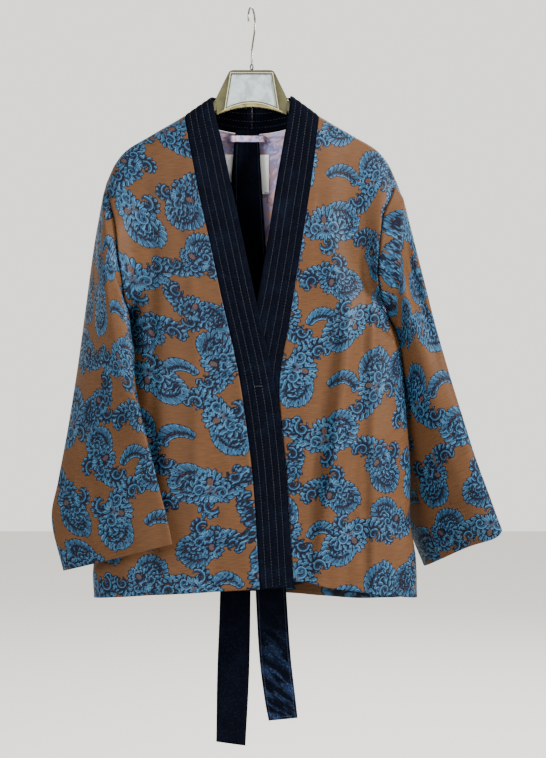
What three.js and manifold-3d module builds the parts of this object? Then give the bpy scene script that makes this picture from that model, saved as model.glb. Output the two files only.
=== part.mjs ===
// A hip-length kimono jacket on its hanger, in millimetres.
// +Z is up, the front faces -Y, and +X is the viewer's right (the wearer's left).
// The origin is the seat of the hook, where a rod or a peg carries it.

import * as THREE from 'three';
import { mergeVertices } from 'three/addons/utils/BufferGeometryUtils.js';
import Module from 'manifold-3d';

// Thickness of each cloth, and the gap at every seam
const brocade = 1.6;
const velvetBand = 3;
const beltCloth = 2.6;
const lining = 0.8;
const labelCloth = 0.8;
const seamGap = 0.3;
const mitreEase = 0.05;
const longestMitre = 2.6;

// The cut of the body
const neckHalf = 96;
const neckZ = -153;
const backNeckDrop = 21;
const tipHalf = 207;
const tipZ = -248;
const underarmZ = -446;
const hemSideZ = -839;
const sideRoundness = 2.4;
const armholeReach = 12;

// How finely the walls are divided
const shoulderColumns = 12;
const neckColumns = 10;
const armholeRows = 12;
const bodyRows = 9;
const ringPoints = 2 * armholeRows;
const sleeveRows = 13;
const bandColumns = 3;

// Top line of the shoulders: half width out from the middle, and height
const ridgeTable = [
  { out: 0, z: -105 },
  { out: 56, z: -126 },
  { out: 96, z: -153 },
  { out: 147, z: -183 },
  { out: 178, z: -202 },
  { out: 195, z: -222 },
  { out: 207, z: -248 },
];

// How far the cloth stands off the middle plane, by its drop below the top line
const frontFall = [
  { drop: 0, depth: 0 },
  { drop: 4, depth: 8.5 },
  { drop: 12, depth: 15 },
  { drop: 30, depth: 23 },
  { drop: 60, depth: 32 },
  { drop: 100, depth: 40 },
  { drop: 170, depth: 48 },
  { drop: 260, depth: 54 },
  { drop: 400, depth: 60 },
  { drop: 700, depth: 68 },
];
const backFall = [
  { drop: 0, depth: 0 },
  { drop: 4, depth: 8.5 },
  { drop: 12, depth: 15 },
  { drop: 30, depth: 25 },
  { drop: 69, depth: 44 },
  { drop: 120, depth: 52 },
  { drop: 200, depth: 56 },
  { drop: 320, depth: 60 },
  { drop: 700, depth: 64 },
];

// Armhole and side seam of each side: height and half width
const rightEdge = [
  { z: -248, out: 207 },
  { z: -282, out: 199 },
  { z: -309, out: 192 },
  { z: -360, out: 186 },
  { z: -400, out: 181 },
  { z: -446, out: 178 },
  { z: -520, out: 188 },
  { z: -600, out: 199 },
  { z: -700, out: 213 },
  { z: -797, out: 226 },
  { z: -839, out: 225 },
];
const leftEdge = [
  { z: -248, out: 207 },
  { z: -268, out: 199 },
  { z: -297, out: 186 },
  { z: -337, out: 180.5 },
  { z: -375, out: 177 },
  { z: -400, out: 179.5 },
  { z: -425, out: 186.5 },
  { z: -446, out: 196 },
  { z: -480, out: 208 },
  { z: -534, out: 215.5 },
  { z: -586, out: 221 },
  { z: -658, out: 226 },
  { z: -730, out: 226 },
  { z: -782, out: 234 },
  { z: -839, out: 236 },
];

// Half the front-to-back opening of the armhole, by height
const armholeTable = [
  { z: -248, depth: 0 },
  { z: -260, depth: 15 },
  { z: -300, depth: 34 },
  { z: -350, depth: 44 },
  { z: -400, depth: 36 },
  { z: -430, depth: 18 },
  { z: -446, depth: 0 },
];

// Front hems, by distance out from the middle
const rightHem = [
  { out: -12, z: -821 },
  { out: 71, z: -826 },
  { out: 170, z: -833 },
  { out: 225, z: -839 },
];
const leftHem = [
  { out: 58, z: -811 },
  { out: 80, z: -812 },
  { out: 110, z: -820 },
  { out: 175, z: -830 },
  { out: 236, z: -839 },
];
const backHem = [
  { x: -226, z: -839 },
  { x: -100, z: -838 },
  { x: 0, z: -838.5 },
  { x: 60, z: -841 },
  { x: 140, z: -847 },
  { x: 200, z: -845 },
  { x: 236, z: -839 },
];

// Collar band: height and distance out of its seam, then the free edge beside it
const rightBand = [
  { z: -153, out: 96, inOut: 56, inY: 0, inZ: -125.5 },
  { z: -159, out: 95, inOut: 55.5, inY: -7, inZ: -129 },
  { z: -170, out: 93, inOut: 54, inY: -11, inZ: -139 },
  { z: -186, out: 90, inOut: 50, inY: -13, inZ: -158 },
  { z: -216, out: 84, inOut: 42, inY: -19, inZ: -190 },
  { z: -281, out: 71, inOut: 27.5, inY: -32, inZ: -257 },
  { z: -331, out: 59.5, inOut: 16.5, inY: -44, inZ: -308 },
  { z: -418, out: 40.7, inOut: -4, inY: -55.5, inZ: -405 },
  { z: -475, out: 27.4, inOut: -18, inY: -58.3, inZ: -467 },
  { z: -528, out: 16.3, inOut: -30.5, inY: -60.3, inZ: -524 },
  { z: -579, out: 8.6, inOut: -39.5, inY: -61.8, inZ: -574 },
  { z: -669, out: -2.5, inOut: -48.5, inY: -63.7, inZ: -667 },
  { z: -821, out: -12.3, inOut: -57.7, inY: -67.2, inZ: -818.5 },
];
const leftBand = [
  { z: -153, out: 96, inOut: 55.5, inY: 0, inZ: -123.5 },
  { z: -159, out: 95.3, inOut: 55, inY: -7, inZ: -128 },
  { z: -170, out: 94, inOut: 54, inY: -11, inZ: -138 },
  { z: -186, out: 92, inOut: 51, inY: -13, inZ: -156 },
  { z: -228, out: 87, inOut: 44, inY: -20, inZ: -197 },
  { z: -290, out: 78, inOut: 33, inY: -34, inZ: -263 },
  { z: -359, out: 67.5, inOut: 22, inY: -48, inZ: -338 },
  { z: -424, out: 57, inOut: 10, inY: -56.5, inZ: -408 },
  { z: -460, out: 51.3, inOut: 0.5, inY: -58.3, inZ: -452 },
  { z: -500, out: 43.4, inOut: -6.5, inY: -59.8, inZ: -497 },
  { z: -537, out: 39.4, inOut: -9.5, inY: -61, inZ: -537 },
  { z: -579, out: 40.8, inOut: -7.5, inY: -62.3, inZ: -577 },
  { z: -669, out: 49.9, inOut: 1.5, inY: -64.5, inZ: -667 },
  { z: -811, out: 58.3, inOut: 10, inY: -67.8, inZ: -809 },
];
// The band behind the neck, from the centre back seam out to the shoulder
const backBand = [
  { out: 0, inOut: 0, inY: 36.5, inZ: -126 },
  { out: 24, inOut: 17, inY: 35.5, inZ: -125.8 },
  { out: 48, inOut: 34, inY: 31.5, inZ: -125 },
  { out: 72, inOut: 51, inY: 21.5, inZ: -124 },
  { out: 90, inOut: 56, inY: 10, inZ: -124.2 },
  { out: 96, inOut: 56.5, inY: 0, inZ: -124.8 },
];
// The left front lies under the right one by this much
const underlap = 4.8;

// Soft folds of the body: path from the top to the bottom, height and half width
const leftFolds = [
  { topX: 141, topZ: -393, midX: 124, midZ: -580, lowX: 90, lowZ: -806, height: 7, half: 13 },
  { topX: 124, topZ: -393, midX: 105, midZ: -580, lowX: 62, lowZ: -806, height: -5, half: 11 },
  { topX: 190, topZ: -500, midX: 184, midZ: -640, lowX: 178, lowZ: -820, height: 4, half: 18 },
  { topX: 100, topZ: -260, midX: 112, midZ: -330, lowX: 118, lowZ: -400, height: 3, half: 16 },
];
const rightFolds = [
  { topX: -125, topZ: -270, midX: -122, midZ: -400, lowX: -118, lowZ: -560, height: 3, half: 16 },
  { topX: -70, topZ: -520, midX: -78, midZ: -660, lowX: -88, lowZ: -822, height: 4, half: 20 },
  { topX: -170, topZ: -640, midX: -172, midZ: -730, lowX: -176, lowZ: -830, height: 4, half: 18 },
];
const backFolds = [
  { topX: -150, topZ: -300, midX: -142, midZ: -560, lowX: -138, lowZ: -840, height: 6, half: 20 },
  { topX: -60, topZ: -380, midX: -66, midZ: -600, lowX: -78, lowZ: -845, height: 5, half: 24 },
  { topX: 30, topZ: -420, midX: 26, midZ: -640, lowX: 18, lowZ: -848, height: 5, half: 22 },
  { topX: 112, topZ: -340, midX: 116, midZ: -580, lowX: 124, lowZ: -845, height: 6, half: 22 },
  { topX: 178, topZ: -480, midX: 182, midZ: -660, lowX: 190, lowZ: -840, height: 5, half: 16 },
];

// Sleeve rings: outer and inner crease, middle depth, half depth, and turn in degrees
const rightSleeve = [
  { outX: -212, outZ: -266, inX: -186, inZ: -457, y: -4, half: 48, turn: 8 },
  { outX: -222, outZ: -318, inX: -183, inZ: -475, y: -12, half: 52, turn: 24 },
  { outX: -231, outZ: -375, inX: -173, inZ: -494, y: -22, half: 54, turn: 40 },
  { outX: -240, outZ: -440, inX: -165, inZ: -524, y: -32, half: 54, turn: 52 },
  { outX: -250, outZ: -520, inX: -154, inZ: -564, y: -42, half: 52, turn: 60 },
  { outX: -262, outZ: -600, inX: -141, inZ: -618, y: -48, half: 48, turn: 65 },
  { outX: -275, outZ: -672, inX: -127, inZ: -675, y: -52, half: 43, turn: 68 },
  { outX: -284, outZ: -728, inX: -115, inZ: -724, y: -55, half: 40, turn: 71 },
  { outX: -267, outZ: -800, inX: -109, inZ: -756, y: -57, half: 38, turn: 73 },
];
const leftSleeve = [
  { outX: 216, outZ: -270, inX: 204, inZ: -457, y: 2, half: 46, turn: -4 },
  { outX: 230, outZ: -326, inX: 210, inZ: -481, y: 4, half: 48, turn: -11 },
  { outX: 246, outZ: -392, inX: 214, inZ: -513, y: 9, half: 50, turn: -20 },
  { outX: 262, outZ: -455, inX: 214, inZ: -550, y: 14, half: 50, turn: -29 },
  { outX: 284, outZ: -532, inX: 213, inZ: -598, y: 19, half: 50, turn: -38 },
  { outX: 303, outZ: -592, inX: 214, inZ: -648, y: 23, half: 50, turn: -45 },
  { outX: 322, outZ: -650, inX: 219, inZ: -699, y: 26, half: 49, turn: -51 },
  { outX: 341, outZ: -700, inX: 231, inZ: -752, y: 28, half: 48, turn: -54 },
  { outX: 355, outZ: -738, inX: 251, inZ: -802, y: 29, half: 47, turn: -57 },
];
// Large folds of the sleeves: ring rows, place round the ring in degrees, and how far they push the cloth
const rightSleeveFolds = [
  { fromRow: 0, topRow: 2, toRow: 7, degrees: 115, spread: 32, pushX: 20, pushY: -8, pushZ: 0 },
];
const leftSleeveFolds = [
  { fromRow: 0, topRow: 3, toRow: 9, degrees: 78, spread: 22, pushX: 0, pushY: 15, pushZ: 0 },
  { fromRow: 9, topRow: 13, toRow: 14, degrees: 95, spread: 36, pushX: 2, pushY: 0, pushZ: -9 },
];

// Inside the back of the neck
const liningColumns = 3;
const liningRows = 13;
const label = { left: -39.4, right: 24.6, top: -203, bottom: -259.5 };
const loop = { left: -34.5, right: 20.5, top: -178, bottom: -187, seat: 0.45 };

// Belt: from the short end up through the loop, over, and down to the long end
const beltWidth = 42;
const beltFold = { x: -7, z: -169, frontY: 26.4, backY: 32.8 };
const shortEnd = [
  { z: -1019, x: 45, slant: 0.1 },
  { z: -985, x: 40, slant: 0.14 },
  { z: -925, x: 33, slant: 0.1 },
  { z: -836, x: 27.5, slant: 0.06 },
  { z: -650, x: 18, slant: 0.06 },
  { z: -450, x: 6, slant: 0.05 },
  { z: -270, x: -5, slant: 0.03 },
  { z: -174, x: -7, slant: 0 },
];
const longEnd = [
  { z: -174, x: -7, slant: 0 },
  { z: -270, x: -10, slant: -0.02 },
  { z: -450, x: -17, slant: -0.03 },
  { z: -650, x: -22, slant: -0.03 },
  { z: -836, x: -24, slant: -0.04 },
  { z: -950, x: -27, slant: -0.08 },
  { z: -1055, x: -30.5, slant: -0.14 },
];
const shortRows = 14;
const longRows = 16;
const foldRows = 6;

// Hanger: one clear moulding with a flat head and two arms
const plate = { topHalf: 31, topZ: -88.5, sideHalf: 50.5, sideZ: -128, footHalf: 49.5, footZ: -151.6 };
const plateArchZ = -140.4;
const plateHalf = 5.5;
const plateCorner = 5;
const windowTable = { topHalf: 28.5, topZ: -94, footHalf: 36, footZ: -142, archZ: -133.2 };
const windowDepth = 1.6;
const armTable = [
  { out: 44, under: 6, high: 9, wide: 5 },
  { out: 56, under: 6.4, high: 9.5, wide: 5.5 },
  { out: 76, under: 6.4, high: 10, wide: 6 },
  { out: 98, under: 6, high: 10.5, wide: 6.5 },
  { out: 122, under: 3.8, high: 11, wide: 7 },
  { out: 146, under: 3.8, high: 11, wide: 6.8 },
  { out: 164, under: 4, high: 10, wide: 6 },
  { out: 171, under: 6, high: 7.5, wide: 4.6 },
  { out: 174, under: 8.8, high: 4.4, wide: 2.8 },
];
const armSides = 16;

// Hook and its eye
const wire = 2.8;
const hookRadius = 17;
const hookTurn = THREE.MathUtils.degToRad(14);
const hookSides = 8;
const hookSteps = 40;
const eye = { width: 5.6, height: 9.4, wire: 1.7 };
const eyeBottom = plate.topZ + seamGap;
const stemBottom = eyeBottom + eye.height + seamGap;

const colours = {
  brocade: 0x6f5236,
  velvet: 0x0b1024,
  lining: 0x9a8798,
  label: 0xf1f0ee,
  belt: 0x0b1226,
  acrylic: 0xc9c8a6,
  chrome: 0xb9bbbd,
  darkMetal: 0x3a3b38,
};

const { lerp, clamp, smoothstep, degToRad } = THREE.MathUtils;
const point = (x, y, z) => new THREE.Vector3(x, y, z);
const steps = (count) => Array.from({ length: count + 1 }, (_, i) => i / count);

const wasm = await Module();
wasm.setup();

// A smooth curve through one column of a table, looked up by another column.
function through(table, at, value) {
  const xs = table.map((row) => row[at]);
  const ys = table.map((row) => row[value]);
  const last = xs.length - 1;
  const slope = (i) => {
    const a = Math.max(i - 1, 0);
    const b = Math.min(i + 1, last);
    return (ys[b] - ys[a]) / (xs[b] - xs[a]);
  };
  return (x) => {
    const i = xs.findIndex((low, k) => k < last && (x - low) * (x - xs[k + 1]) <= 0);
    if (i < 0) return Math.abs(x - xs[0]) < Math.abs(x - xs[last]) ? ys[0] : ys[last];
    const w = xs[i + 1] - xs[i];
    const t = (x - xs[i]) / w;
    const rise = ys[i + 1] - ys[i];
    const bend = (1 - t) * (w * slope(i) - rise) - t * (w * slope(i + 1) - rise);
    return ys[i] + rise * t + t * (1 - t) * bend;
  };
}

const ridge = through(ridgeTable, 'out', 'z');
const falls = {
  front: through(frontFall, 'drop', 'depth'),
  back: through(backFall, 'drop', 'depth'),
};
const armhole = through(armholeTable, 'z', 'depth');
const sides = {
  right: {
    sign: -1, edge: through(rightEdge, 'z', 'out'), hem: through(rightHem, 'out', 'z'), band: rightBand,
  },
  left: { sign: 1, edge: through(leftEdge, 'z', 'out'), hem: through(leftHem, 'out', 'z'), band: leftBand },
};

// Rows of the body, as parts of its length: close together at the shoulder and the underarm.
const underarmPart = (underarmZ - tipZ) / (hemSideZ - tipZ);
const bodyParts = [
  ...steps(armholeRows).map((t) => (underarmPart * (1 - Math.cos(Math.PI * t ** 1.25))) / 2),
  ...steps(bodyRows).slice(1).map((t) => lerp(underarmPart, 1, t)),
];

// Distance out from the middle, spaced evenly or by the angle round the side.
function spread(t, inner, edge, round) {
  const start = Math.asin(Math.sign(inner) * Math.abs(inner / edge) ** (sideRoundness / 2));
  const sine = Math.sin(lerp(start, Math.PI / 2, t));
  const curved = edge * Math.sign(sine) * Math.abs(sine) ** (2 / sideRoundness);
  return lerp(lerp(inner, edge, t), curved, round);
}

const foldPath = (fold) => through([
  { z: fold.topZ, x: fold.topX },
  { z: fold.midZ, x: fold.midX },
  { z: fold.lowZ, x: fold.lowX },
], 'z', 'x');

function foldHeight(folds, x, z) {
  let sum = 0;
  for (const fold of folds) {
    const begin = smoothstep(fold.topZ - z, 0, 90);
    const away = (x - foldPath(fold)(z)) / fold.half;
    sum += fold.height * begin * Math.exp(-away * away);
  }
  return sum;
}

// How far the body's cloth stands off the middle plane.
function bodyDepth(face, out, z, edge, edgeDepth) {
  const full = falls[face](ridge(Math.abs(out)) - z);
  const across = Math.min(Math.abs(out / edge), 1);
  const round = (1 - across ** sideRoundness) ** (1 / sideRoundness);
  return full * round + edgeDepth * across ** armholeReach;
}

const roundAt = (z) => smoothstep(-z, 380, 450);
const underlapAt = (z) => underlap * smoothstep(-z, 325, 400);

function frontGrid(side) {
  const { sign, edge, hem, band } = sides[side];
  const seam = through(band, 'z', 'out');
  const folds = side === 'left' ? leftFolds : rightFolds;
  const bandHemZ = band.at(-1).z;
  return bodyParts.map((part) => {
    const sideZ = lerp(tipZ, hemSideZ, part);
    const seamZ = lerp(neckZ, bandHemZ, part);
    return steps(shoulderColumns).map((t) => {
      const out = spread(t, seam(seamZ), edge(sideZ), roundAt(sideZ));
      const even = (out - seam(seamZ)) / (edge(sideZ) - seam(seamZ));
      const top = ridge(lerp(neckHalf, tipHalf, even));
      const low = hem(lerp(band.at(-1).out, edge(hemSideZ), even));
      const z = lerp(t === 0 ? neckZ : top, t === 0 ? bandHemZ : low, part);
      const flat = bodyDepth('front', out, z, edge(sideZ), armhole(sideZ));
      const fade = Math.sqrt(Math.max(1 - t * t, 0)) * smoothstep(t, 0, 0.15);
      const raised = foldHeight(folds, sign * out, z) * fade;
      const tuck = side === 'left' ? underlapAt(z) * (1 - smoothstep(out, 62, 150)) : 0;
      return point(sign * out, tuck - flat - raised, z);
    });
  });
}

const backHemAt = through(backHem, 'x', 'z');
const backNeckZ = (x) => neckZ - backNeckDrop * (1 - (x / neckHalf) ** 2);

function backGrid() {
  const shoulder = steps(shoulderColumns).map((t) => lerp(-tipHalf, -neckHalf, t));
  const neck = steps(neckColumns).slice(1, -1).map((t) => -neckHalf * Math.cos(Math.PI * t));
  const tops = [...shoulder, ...neck, ...shoulder.map((x) => -x).reverse()];
  return bodyParts.map((part) => {
    const sideZ = lerp(tipZ, hemSideZ, part);
    return tops.map((x) => {
      const { sign, edge } = x < 0 ? sides.right : sides.left;
      const t = Math.abs(x) / tipHalf;
      const out = spread(t, 0, edge(sideZ), roundAt(sideZ));
      const even = out / edge(sideZ);
      const topX = even * tipHalf;
      const topZ = topX < neckHalf ? backNeckZ(topX) : ridge(topX);
      const start = part === 0 && Math.abs(x) === neckHalf ? neckZ : topZ;
      const z = lerp(start, backHemAt(sign * even * edge(hemSideZ)), part);
      const flat = bodyDepth('back', out, z, edge(sideZ), armhole(sideZ));
      return point(sign * out, flat + foldHeight(backFolds, sign * out, z) * Math.sqrt(1 - t * t), z);
    });
  });
}

// The armhole of one side as a ring: shoulder tip, down the front, underarm, up the back.
function armholeRing(front, back, side) {
  const frontEdge = front.slice(0, armholeRows + 1).map((row) => row.at(-1));
  const backEdge = back.slice(1, armholeRows).map((row) => (side === 'left' ? row.at(-1) : row[0]));
  return [...frontEdge, ...backEdge.reverse()].map((p) => p.clone());
}

function sleeveGrid(table, folds, ring) {
  const rows = table.map((row, i) => ({ ...row, at: i / (table.length - 1) }));
  const curve = Object.fromEntries(Object.keys(table[0]).map((key) => [key, through(rows, 'at', key)]));
  const rings = steps(sleeveRows - 1).map((at, i) => {
    const turn = degToRad(curve.turn(at));
    const halfX = (curve.outX(at) - curve.inX(at)) / 2;
    const halfZ = (curve.outZ(at) - curve.inZ(at)) / 2;
    return steps(ringPoints).slice(0, -1).map((t) => {
      const angle = 2 * Math.PI * t;
      const reach = Math.cos(angle + turn);
      const y = curve.y(at) - curve.half(at) * Math.sin(angle);
      const p = point(curve.inX(at) + halfX * (1 + reach), y, curve.inZ(at) + halfZ * (1 + reach));
      for (const fold of folds) {
        const rise = smoothstep(i + 1, fold.fromRow, fold.topRow)
          * (1 - smoothstep(i + 1, fold.topRow, fold.toRow));
        const away = (t * 360 - fold.degrees) / fold.spread;
        const push = rise * Math.exp(-away * away);
        p.add(point(fold.pushX, fold.pushY, fold.pushZ).multiplyScalar(push));
      }
      return p;
    });
  });
  return [ring, ...rings];
}

// Band rows: round the back of the neck from the centre, then down the front.
function bandGrid(side, front, back) {
  const { sign, band } = sides[side];
  const inner = (table, at, value) => ({
    x: sign * through(table, at, 'inOut')(value),
    y: through(table, at, 'inY')(value),
    z: through(table, at, 'inZ')(value),
  });
  const middle = shoulderColumns + neckColumns / 2;
  const rows = steps(neckColumns / 2).slice(0, -1).map((_, i) => {
    const seam = back[0][middle + sign * i].clone();
    return { seam, free: inner(backBand, 'out', Math.abs(seam.x)) };
  });
  for (const row of front) {
    const seam = row[0].clone();
    const free = inner(band, 'z', seam.z);
    if (side === 'left') free.y += underlapAt(seam.z);
    rows.push({ seam, free });
  }
  return rows.map(({ seam, free }) => steps(bandColumns)
    .map((t) => seam.clone().lerp(point(free.x, free.y, free.z), t)));
}

// Part of a grid moved in from the outer face by a distance.
function layer(grid, normals, rows, columns, distance) {
  return rows.map((r) => columns.map((c) => grid[r][c].clone().addScaledVector(normals[r][c], -distance)));
}

function patchGrid(left, right, top, bottom, across, down, depthAt) {
  return steps(down).map((v) => steps(across).map((u) => {
    const x = lerp(left, right, u);
    const z = lerp(top, bottom, v);
    return point(x, depthAt(x, z, u), z);
  }));
}

const insideBack = (x, z) => bodyDepth('back', x, z, tipHalf, 0);

function beltGrid() {
  const across = [-0.5, 0, 0.5].map((u) => u * beltWidth);
  const stretch = (table, count, y) => {
    const line = table.map((row, i) => ({ ...row, at: i / (table.length - 1) }));
    const [x, z, slant] = ['x', 'z', 'slant'].map((key) => through(line, 'at', key));
    return steps(count).map((t) => across.map((w) => point(x(t) + w, y, z(t) + w * slant(t))));
  };
  const radius = (beltFold.backY - beltFold.frontY) / 2;
  const over = steps(foldRows).slice(1, -1).map((t) => across.map((w) => point(
    beltFold.x + w,
    beltFold.frontY + radius * (1 - Math.cos(Math.PI * t)),
    beltFold.z - 6 + 6 * Math.sin(Math.PI * t),
  )));
  return [
    ...stretch(shortEnd, shortRows, beltFold.frontY),
    ...over,
    ...stretch(longEnd, longRows, beltFold.backY),
  ];
}

// Unit normals of a grid of points.
function gridNormals({ points, flip }) {
  const rows = points.length;
  const columns = points[0].length;
  return points.map((row, r) => row.map((_, c) => {
    const du = row[Math.min(c + 1, columns - 1)].clone().sub(row[Math.max(c - 1, 0)]);
    const dv = points[Math.min(r + 1, rows - 1)][c].clone().sub(points[Math.max(r - 1, 0)][c]);
    return du.cross(dv).normalize().multiplyScalar(flip ? -1 : 1);
  }));
}

// The front and the back half of a sleeve, which meet at the shoulder fold and the underarm seam.
function sleeveHalves(rings, flip) {
  const wrapped = rings.map((ring) => [ring.at(-1), ...ring, ring[0]]);
  const normals = gridNormals({ points: wrapped, flip }).map((row) => row.slice(1, -1));
  const half = (pick) => ({
    points: rings.map((ring) => pick(ring).map((p) => p.clone())),
    normals: normals.map((row) => pick(row).map((n) => n.clone())),
    flip,
    thickness: brocade,
  });
  return [
    half((ring) => ring.slice(0, armholeRows + 1)),
    half((ring) => [...ring.slice(armholeRows), ring[0]]),
  ];
}

// The direction that lies one thickness inside every wall that meets at a seam point.
function mitre(normals) {
  const mean = normals.reduce((sum, n) => sum.add(n), point(0, 0, 0)).normalize();
  const matrix = new THREE.Matrix3().set(mitreEase, 0, 0, 0, mitreEase, 0, 0, 0, mitreEase);
  const goal = mean.clone().multiplyScalar(mitreEase);
  for (const n of normals) {
    const { x, y, z } = n;
    [x * x, x * y, x * z, y * x, y * y, y * z, z * x, z * y, z * z].forEach((value, i) => {
      matrix.elements[i] += value;
    });
    goal.add(n);
  }
  return goal.applyMatrix3(matrix.invert()).clampLength(1, longestMitre);
}

// Where walls share a seam point, all take the same mitre, and each edge draws back by half the gap.
function sewSeams(walls) {
  const seams = new Map();
  for (const wall of walls) {
    const rows = wall.points.length;
    const columns = wall.points[0].length;
    wall.points.forEach((row, r) => row.forEach((p, c) => {
      const rowEdge = r === 0 || r === rows - 1;
      const columnEdge = c === 0 || c === columns - 1;
      if (!rowEdge && !columnEdge) return;
      const key = [p.x, p.y, p.z].map((value) => Math.round(value * 20)).join(' ');
      if (!seams.has(key)) seams.set(key, []);
      seams.get(key).push({ wall, r, c, rowEdge, columnEdge });
    }));
  }
  const moves = [];
  for (const shared of seams.values()) {
    if (shared.length < 2) continue;
    const normal = mitre(shared.map(({ wall, r, c }) => wall.normals[r][c].clone()));
    for (const place of shared) {
      const { wall, r, c } = place;
      wall.normals[r][c] = normal.clone();
      moves.push({ wall, r, c, shift: drawBack(place, normal) });
    }
  }
  for (const { wall, r, c, shift } of moves) wall.points[r][c].add(shift);
}

function drawBack({ wall, r, c, rowEdge, columnEdge }, normal) {
  const { points } = wall;
  const rows = points.length;
  const columns = points[0].length;
  const here = points[r][c];
  const shift = point(0, 0, 0);
  const pull = (inside, before, after) => {
    const along = after.clone().sub(before);
    const across = normal.clone().cross(along).normalize();
    if (across.dot(inside.clone().sub(here)) < 0) across.negate();
    shift.addScaledVector(across, seamGap / 2 + 0.02);
  };
  if (rowEdge) {
    const inner = points[r === 0 ? 1 : rows - 2][c];
    pull(inner, points[r][Math.max(c - 1, 0)], points[r][Math.min(c + 1, columns - 1)]);
  }
  if (columnEdge) {
    const inner = points[r][c === 0 ? 1 : columns - 2];
    pull(inner, points[Math.max(r - 1, 0)][c], points[Math.min(r + 1, rows - 1)][c]);
  }
  return shift;
}

// A closed wall: the outer points, the same points moved in by the thickness, and a rim.
function wallGeometry({ points, normals, flip, thickness }) {
  const rows = points.length;
  const columns = points[0].length;
  const outer = points.flat();
  const inner = outer.map((p, i) => p.clone().addScaledVector(normals.flat()[i], -thickness));
  const count = outer.length;
  const index = [];
  const face = (a, b, c) => index.push(...(flip ? [a, c, b] : [a, b, c]));
  const quad = (a, b, c, d) => {
    face(a, b, c);
    face(a, c, d);
  };
  const at = (r, c) => r * columns + c;
  for (let r = 0; r < rows - 1; r += 1) {
    for (let c = 0; c < columns - 1; c += 1) {
      const corners = [at(r, c), at(r, c + 1), at(r + 1, c + 1), at(r + 1, c)];
      quad(...corners);
      const [a, b, c1, d] = corners.map((i) => i + count);
      face(a, c1, b);
      face(a, d, c1);
    }
  }
  // Walls on both sides of a seam split their rims along the same diagonal.
  const rim = (a, b) => {
    if (outer[a].z < outer[b].z) quad(a, a + count, b + count, b);
    else quad(b, a, a + count, b + count);
  };
  for (let c = 0; c < columns - 1; c += 1) {
    rim(at(0, c), at(0, c + 1));
    rim(at(rows - 1, c + 1), at(rows - 1, c));
  }
  for (let r = 0; r < rows - 1; r += 1) {
    rim(at(r + 1, 0), at(r, 0));
    rim(at(r, columns - 1), at(r + 1, columns - 1));
  }
  const geometry = new THREE.BufferGeometry();
  const places = [...outer, ...inner].flatMap((p) => p.toArray());
  geometry.setAttribute('position', new THREE.Float32BufferAttribute(places, 3));
  geometry.setIndex(index);
  return geometry;
}

function bareGeometry(geometry) {
  geometry.deleteAttribute('normal');
  geometry.deleteAttribute('uv');
  return mergeVertices(geometry, 1e-4);
}

function solid(geometry) {
  const bare = bareGeometry(geometry);
  return new wasm.Manifold(new wasm.Mesh({
    numProp: 3,
    vertProperties: new Float32Array(bare.attributes.position.array),
    triVerts: new Uint32Array(bare.index.array),
  }));
}

function fromSolid(manifold) {
  const mesh = manifold.getMesh();
  const geometry = new THREE.BufferGeometry();
  geometry.setAttribute('position', new THREE.BufferAttribute(mesh.vertProperties, 3));
  geometry.setIndex(new THREE.BufferAttribute(mesh.triVerts, 1));
  return geometry;
}

// An outline in the XZ plane, given thickness along Y.
function slab(shape, from, to) {
  const settings = { depth: to - from, bevelEnabled: false, curveSegments: 10 };
  const geometry = new THREE.ExtrudeGeometry(shape, settings);
  geometry.rotateX(Math.PI / 2);
  geometry.translate(0, to, 0);
  return geometry;
}

function plateShape() {
  const shape = new THREE.Shape();
  const side = (plate.sideHalf - plate.topHalf) / (plate.topZ - plate.sideZ);
  shape.moveTo(-plate.footHalf, plate.footZ);
  shape.quadraticCurveTo(0, 2 * plateArchZ - plate.footZ, plate.footHalf, plate.footZ);
  shape.lineTo(plate.sideHalf, plate.sideZ);
  shape.lineTo(plate.topHalf + side * plateCorner, plate.topZ - plateCorner);
  shape.quadraticCurveTo(plate.topHalf, plate.topZ, plate.topHalf - plateCorner, plate.topZ);
  shape.lineTo(plateCorner - plate.topHalf, plate.topZ);
  shape.quadraticCurveTo(-plate.topHalf, plate.topZ,
    -plate.topHalf - side * plateCorner, plate.topZ - plateCorner);
  shape.lineTo(-plate.sideHalf, plate.sideZ);
  shape.closePath();
  return shape;
}

function windowShape() {
  const { topHalf, topZ, footHalf, footZ, archZ } = windowTable;
  const shape = new THREE.Shape();
  shape.moveTo(-footHalf, footZ);
  shape.quadraticCurveTo(0, 2 * archZ - footZ, footHalf, footZ);
  shape.lineTo(topHalf, topZ);
  shape.lineTo(-topHalf, topZ);
  shape.closePath();
  return shape;
}

// Rings of points joined by a skin, with both ends closed.
function loft(rings) {
  const count = rings[0].length;
  const index = [];
  rings.slice(1).forEach((_, r) => {
    for (let k = 0; k < count; k += 1) {
      const a = r * count + k;
      const b = r * count + ((k + 1) % count);
      index.push(a, b, b + count, a, b + count, a + count);
    }
  });
  const end = (rings.length - 1) * count;
  for (let k = 1; k < count - 1; k += 1) {
    index.push(0, k + 1, k, end, end + k, end + k + 1);
  }
  const geometry = new THREE.BufferGeometry();
  const places = rings.flat().flatMap((p) => p.toArray());
  geometry.setAttribute('position', new THREE.Float32BufferAttribute(places, 3));
  geometry.setIndex(index);
  return geometry;
}

function armGeometry(sign) {
  const rings = armTable.map(({ out, under, high, wide }) => steps(armSides).slice(0, -1).map((t) => {
    const angle = 2 * Math.PI * t * sign;
    return point(sign * out, wide * Math.cos(angle), ridge(out) - under - high + high * Math.sin(angle));
  }));
  return loft(rings);
}

function hangerGeometry() {
  const overshoot = 1;
  const front = slab(windowShape(), -plateHalf - overshoot, windowDepth - plateHalf);
  const back = slab(windowShape(), plateHalf - windowDepth, plateHalf + overshoot);
  const body = solid(slab(plateShape(), -plateHalf, plateHalf))
    .add(solid(armGeometry(1)))
    .add(solid(armGeometry(-1)));
  return fromSolid(body.subtract(solid(front)).subtract(solid(back)));
}

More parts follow.
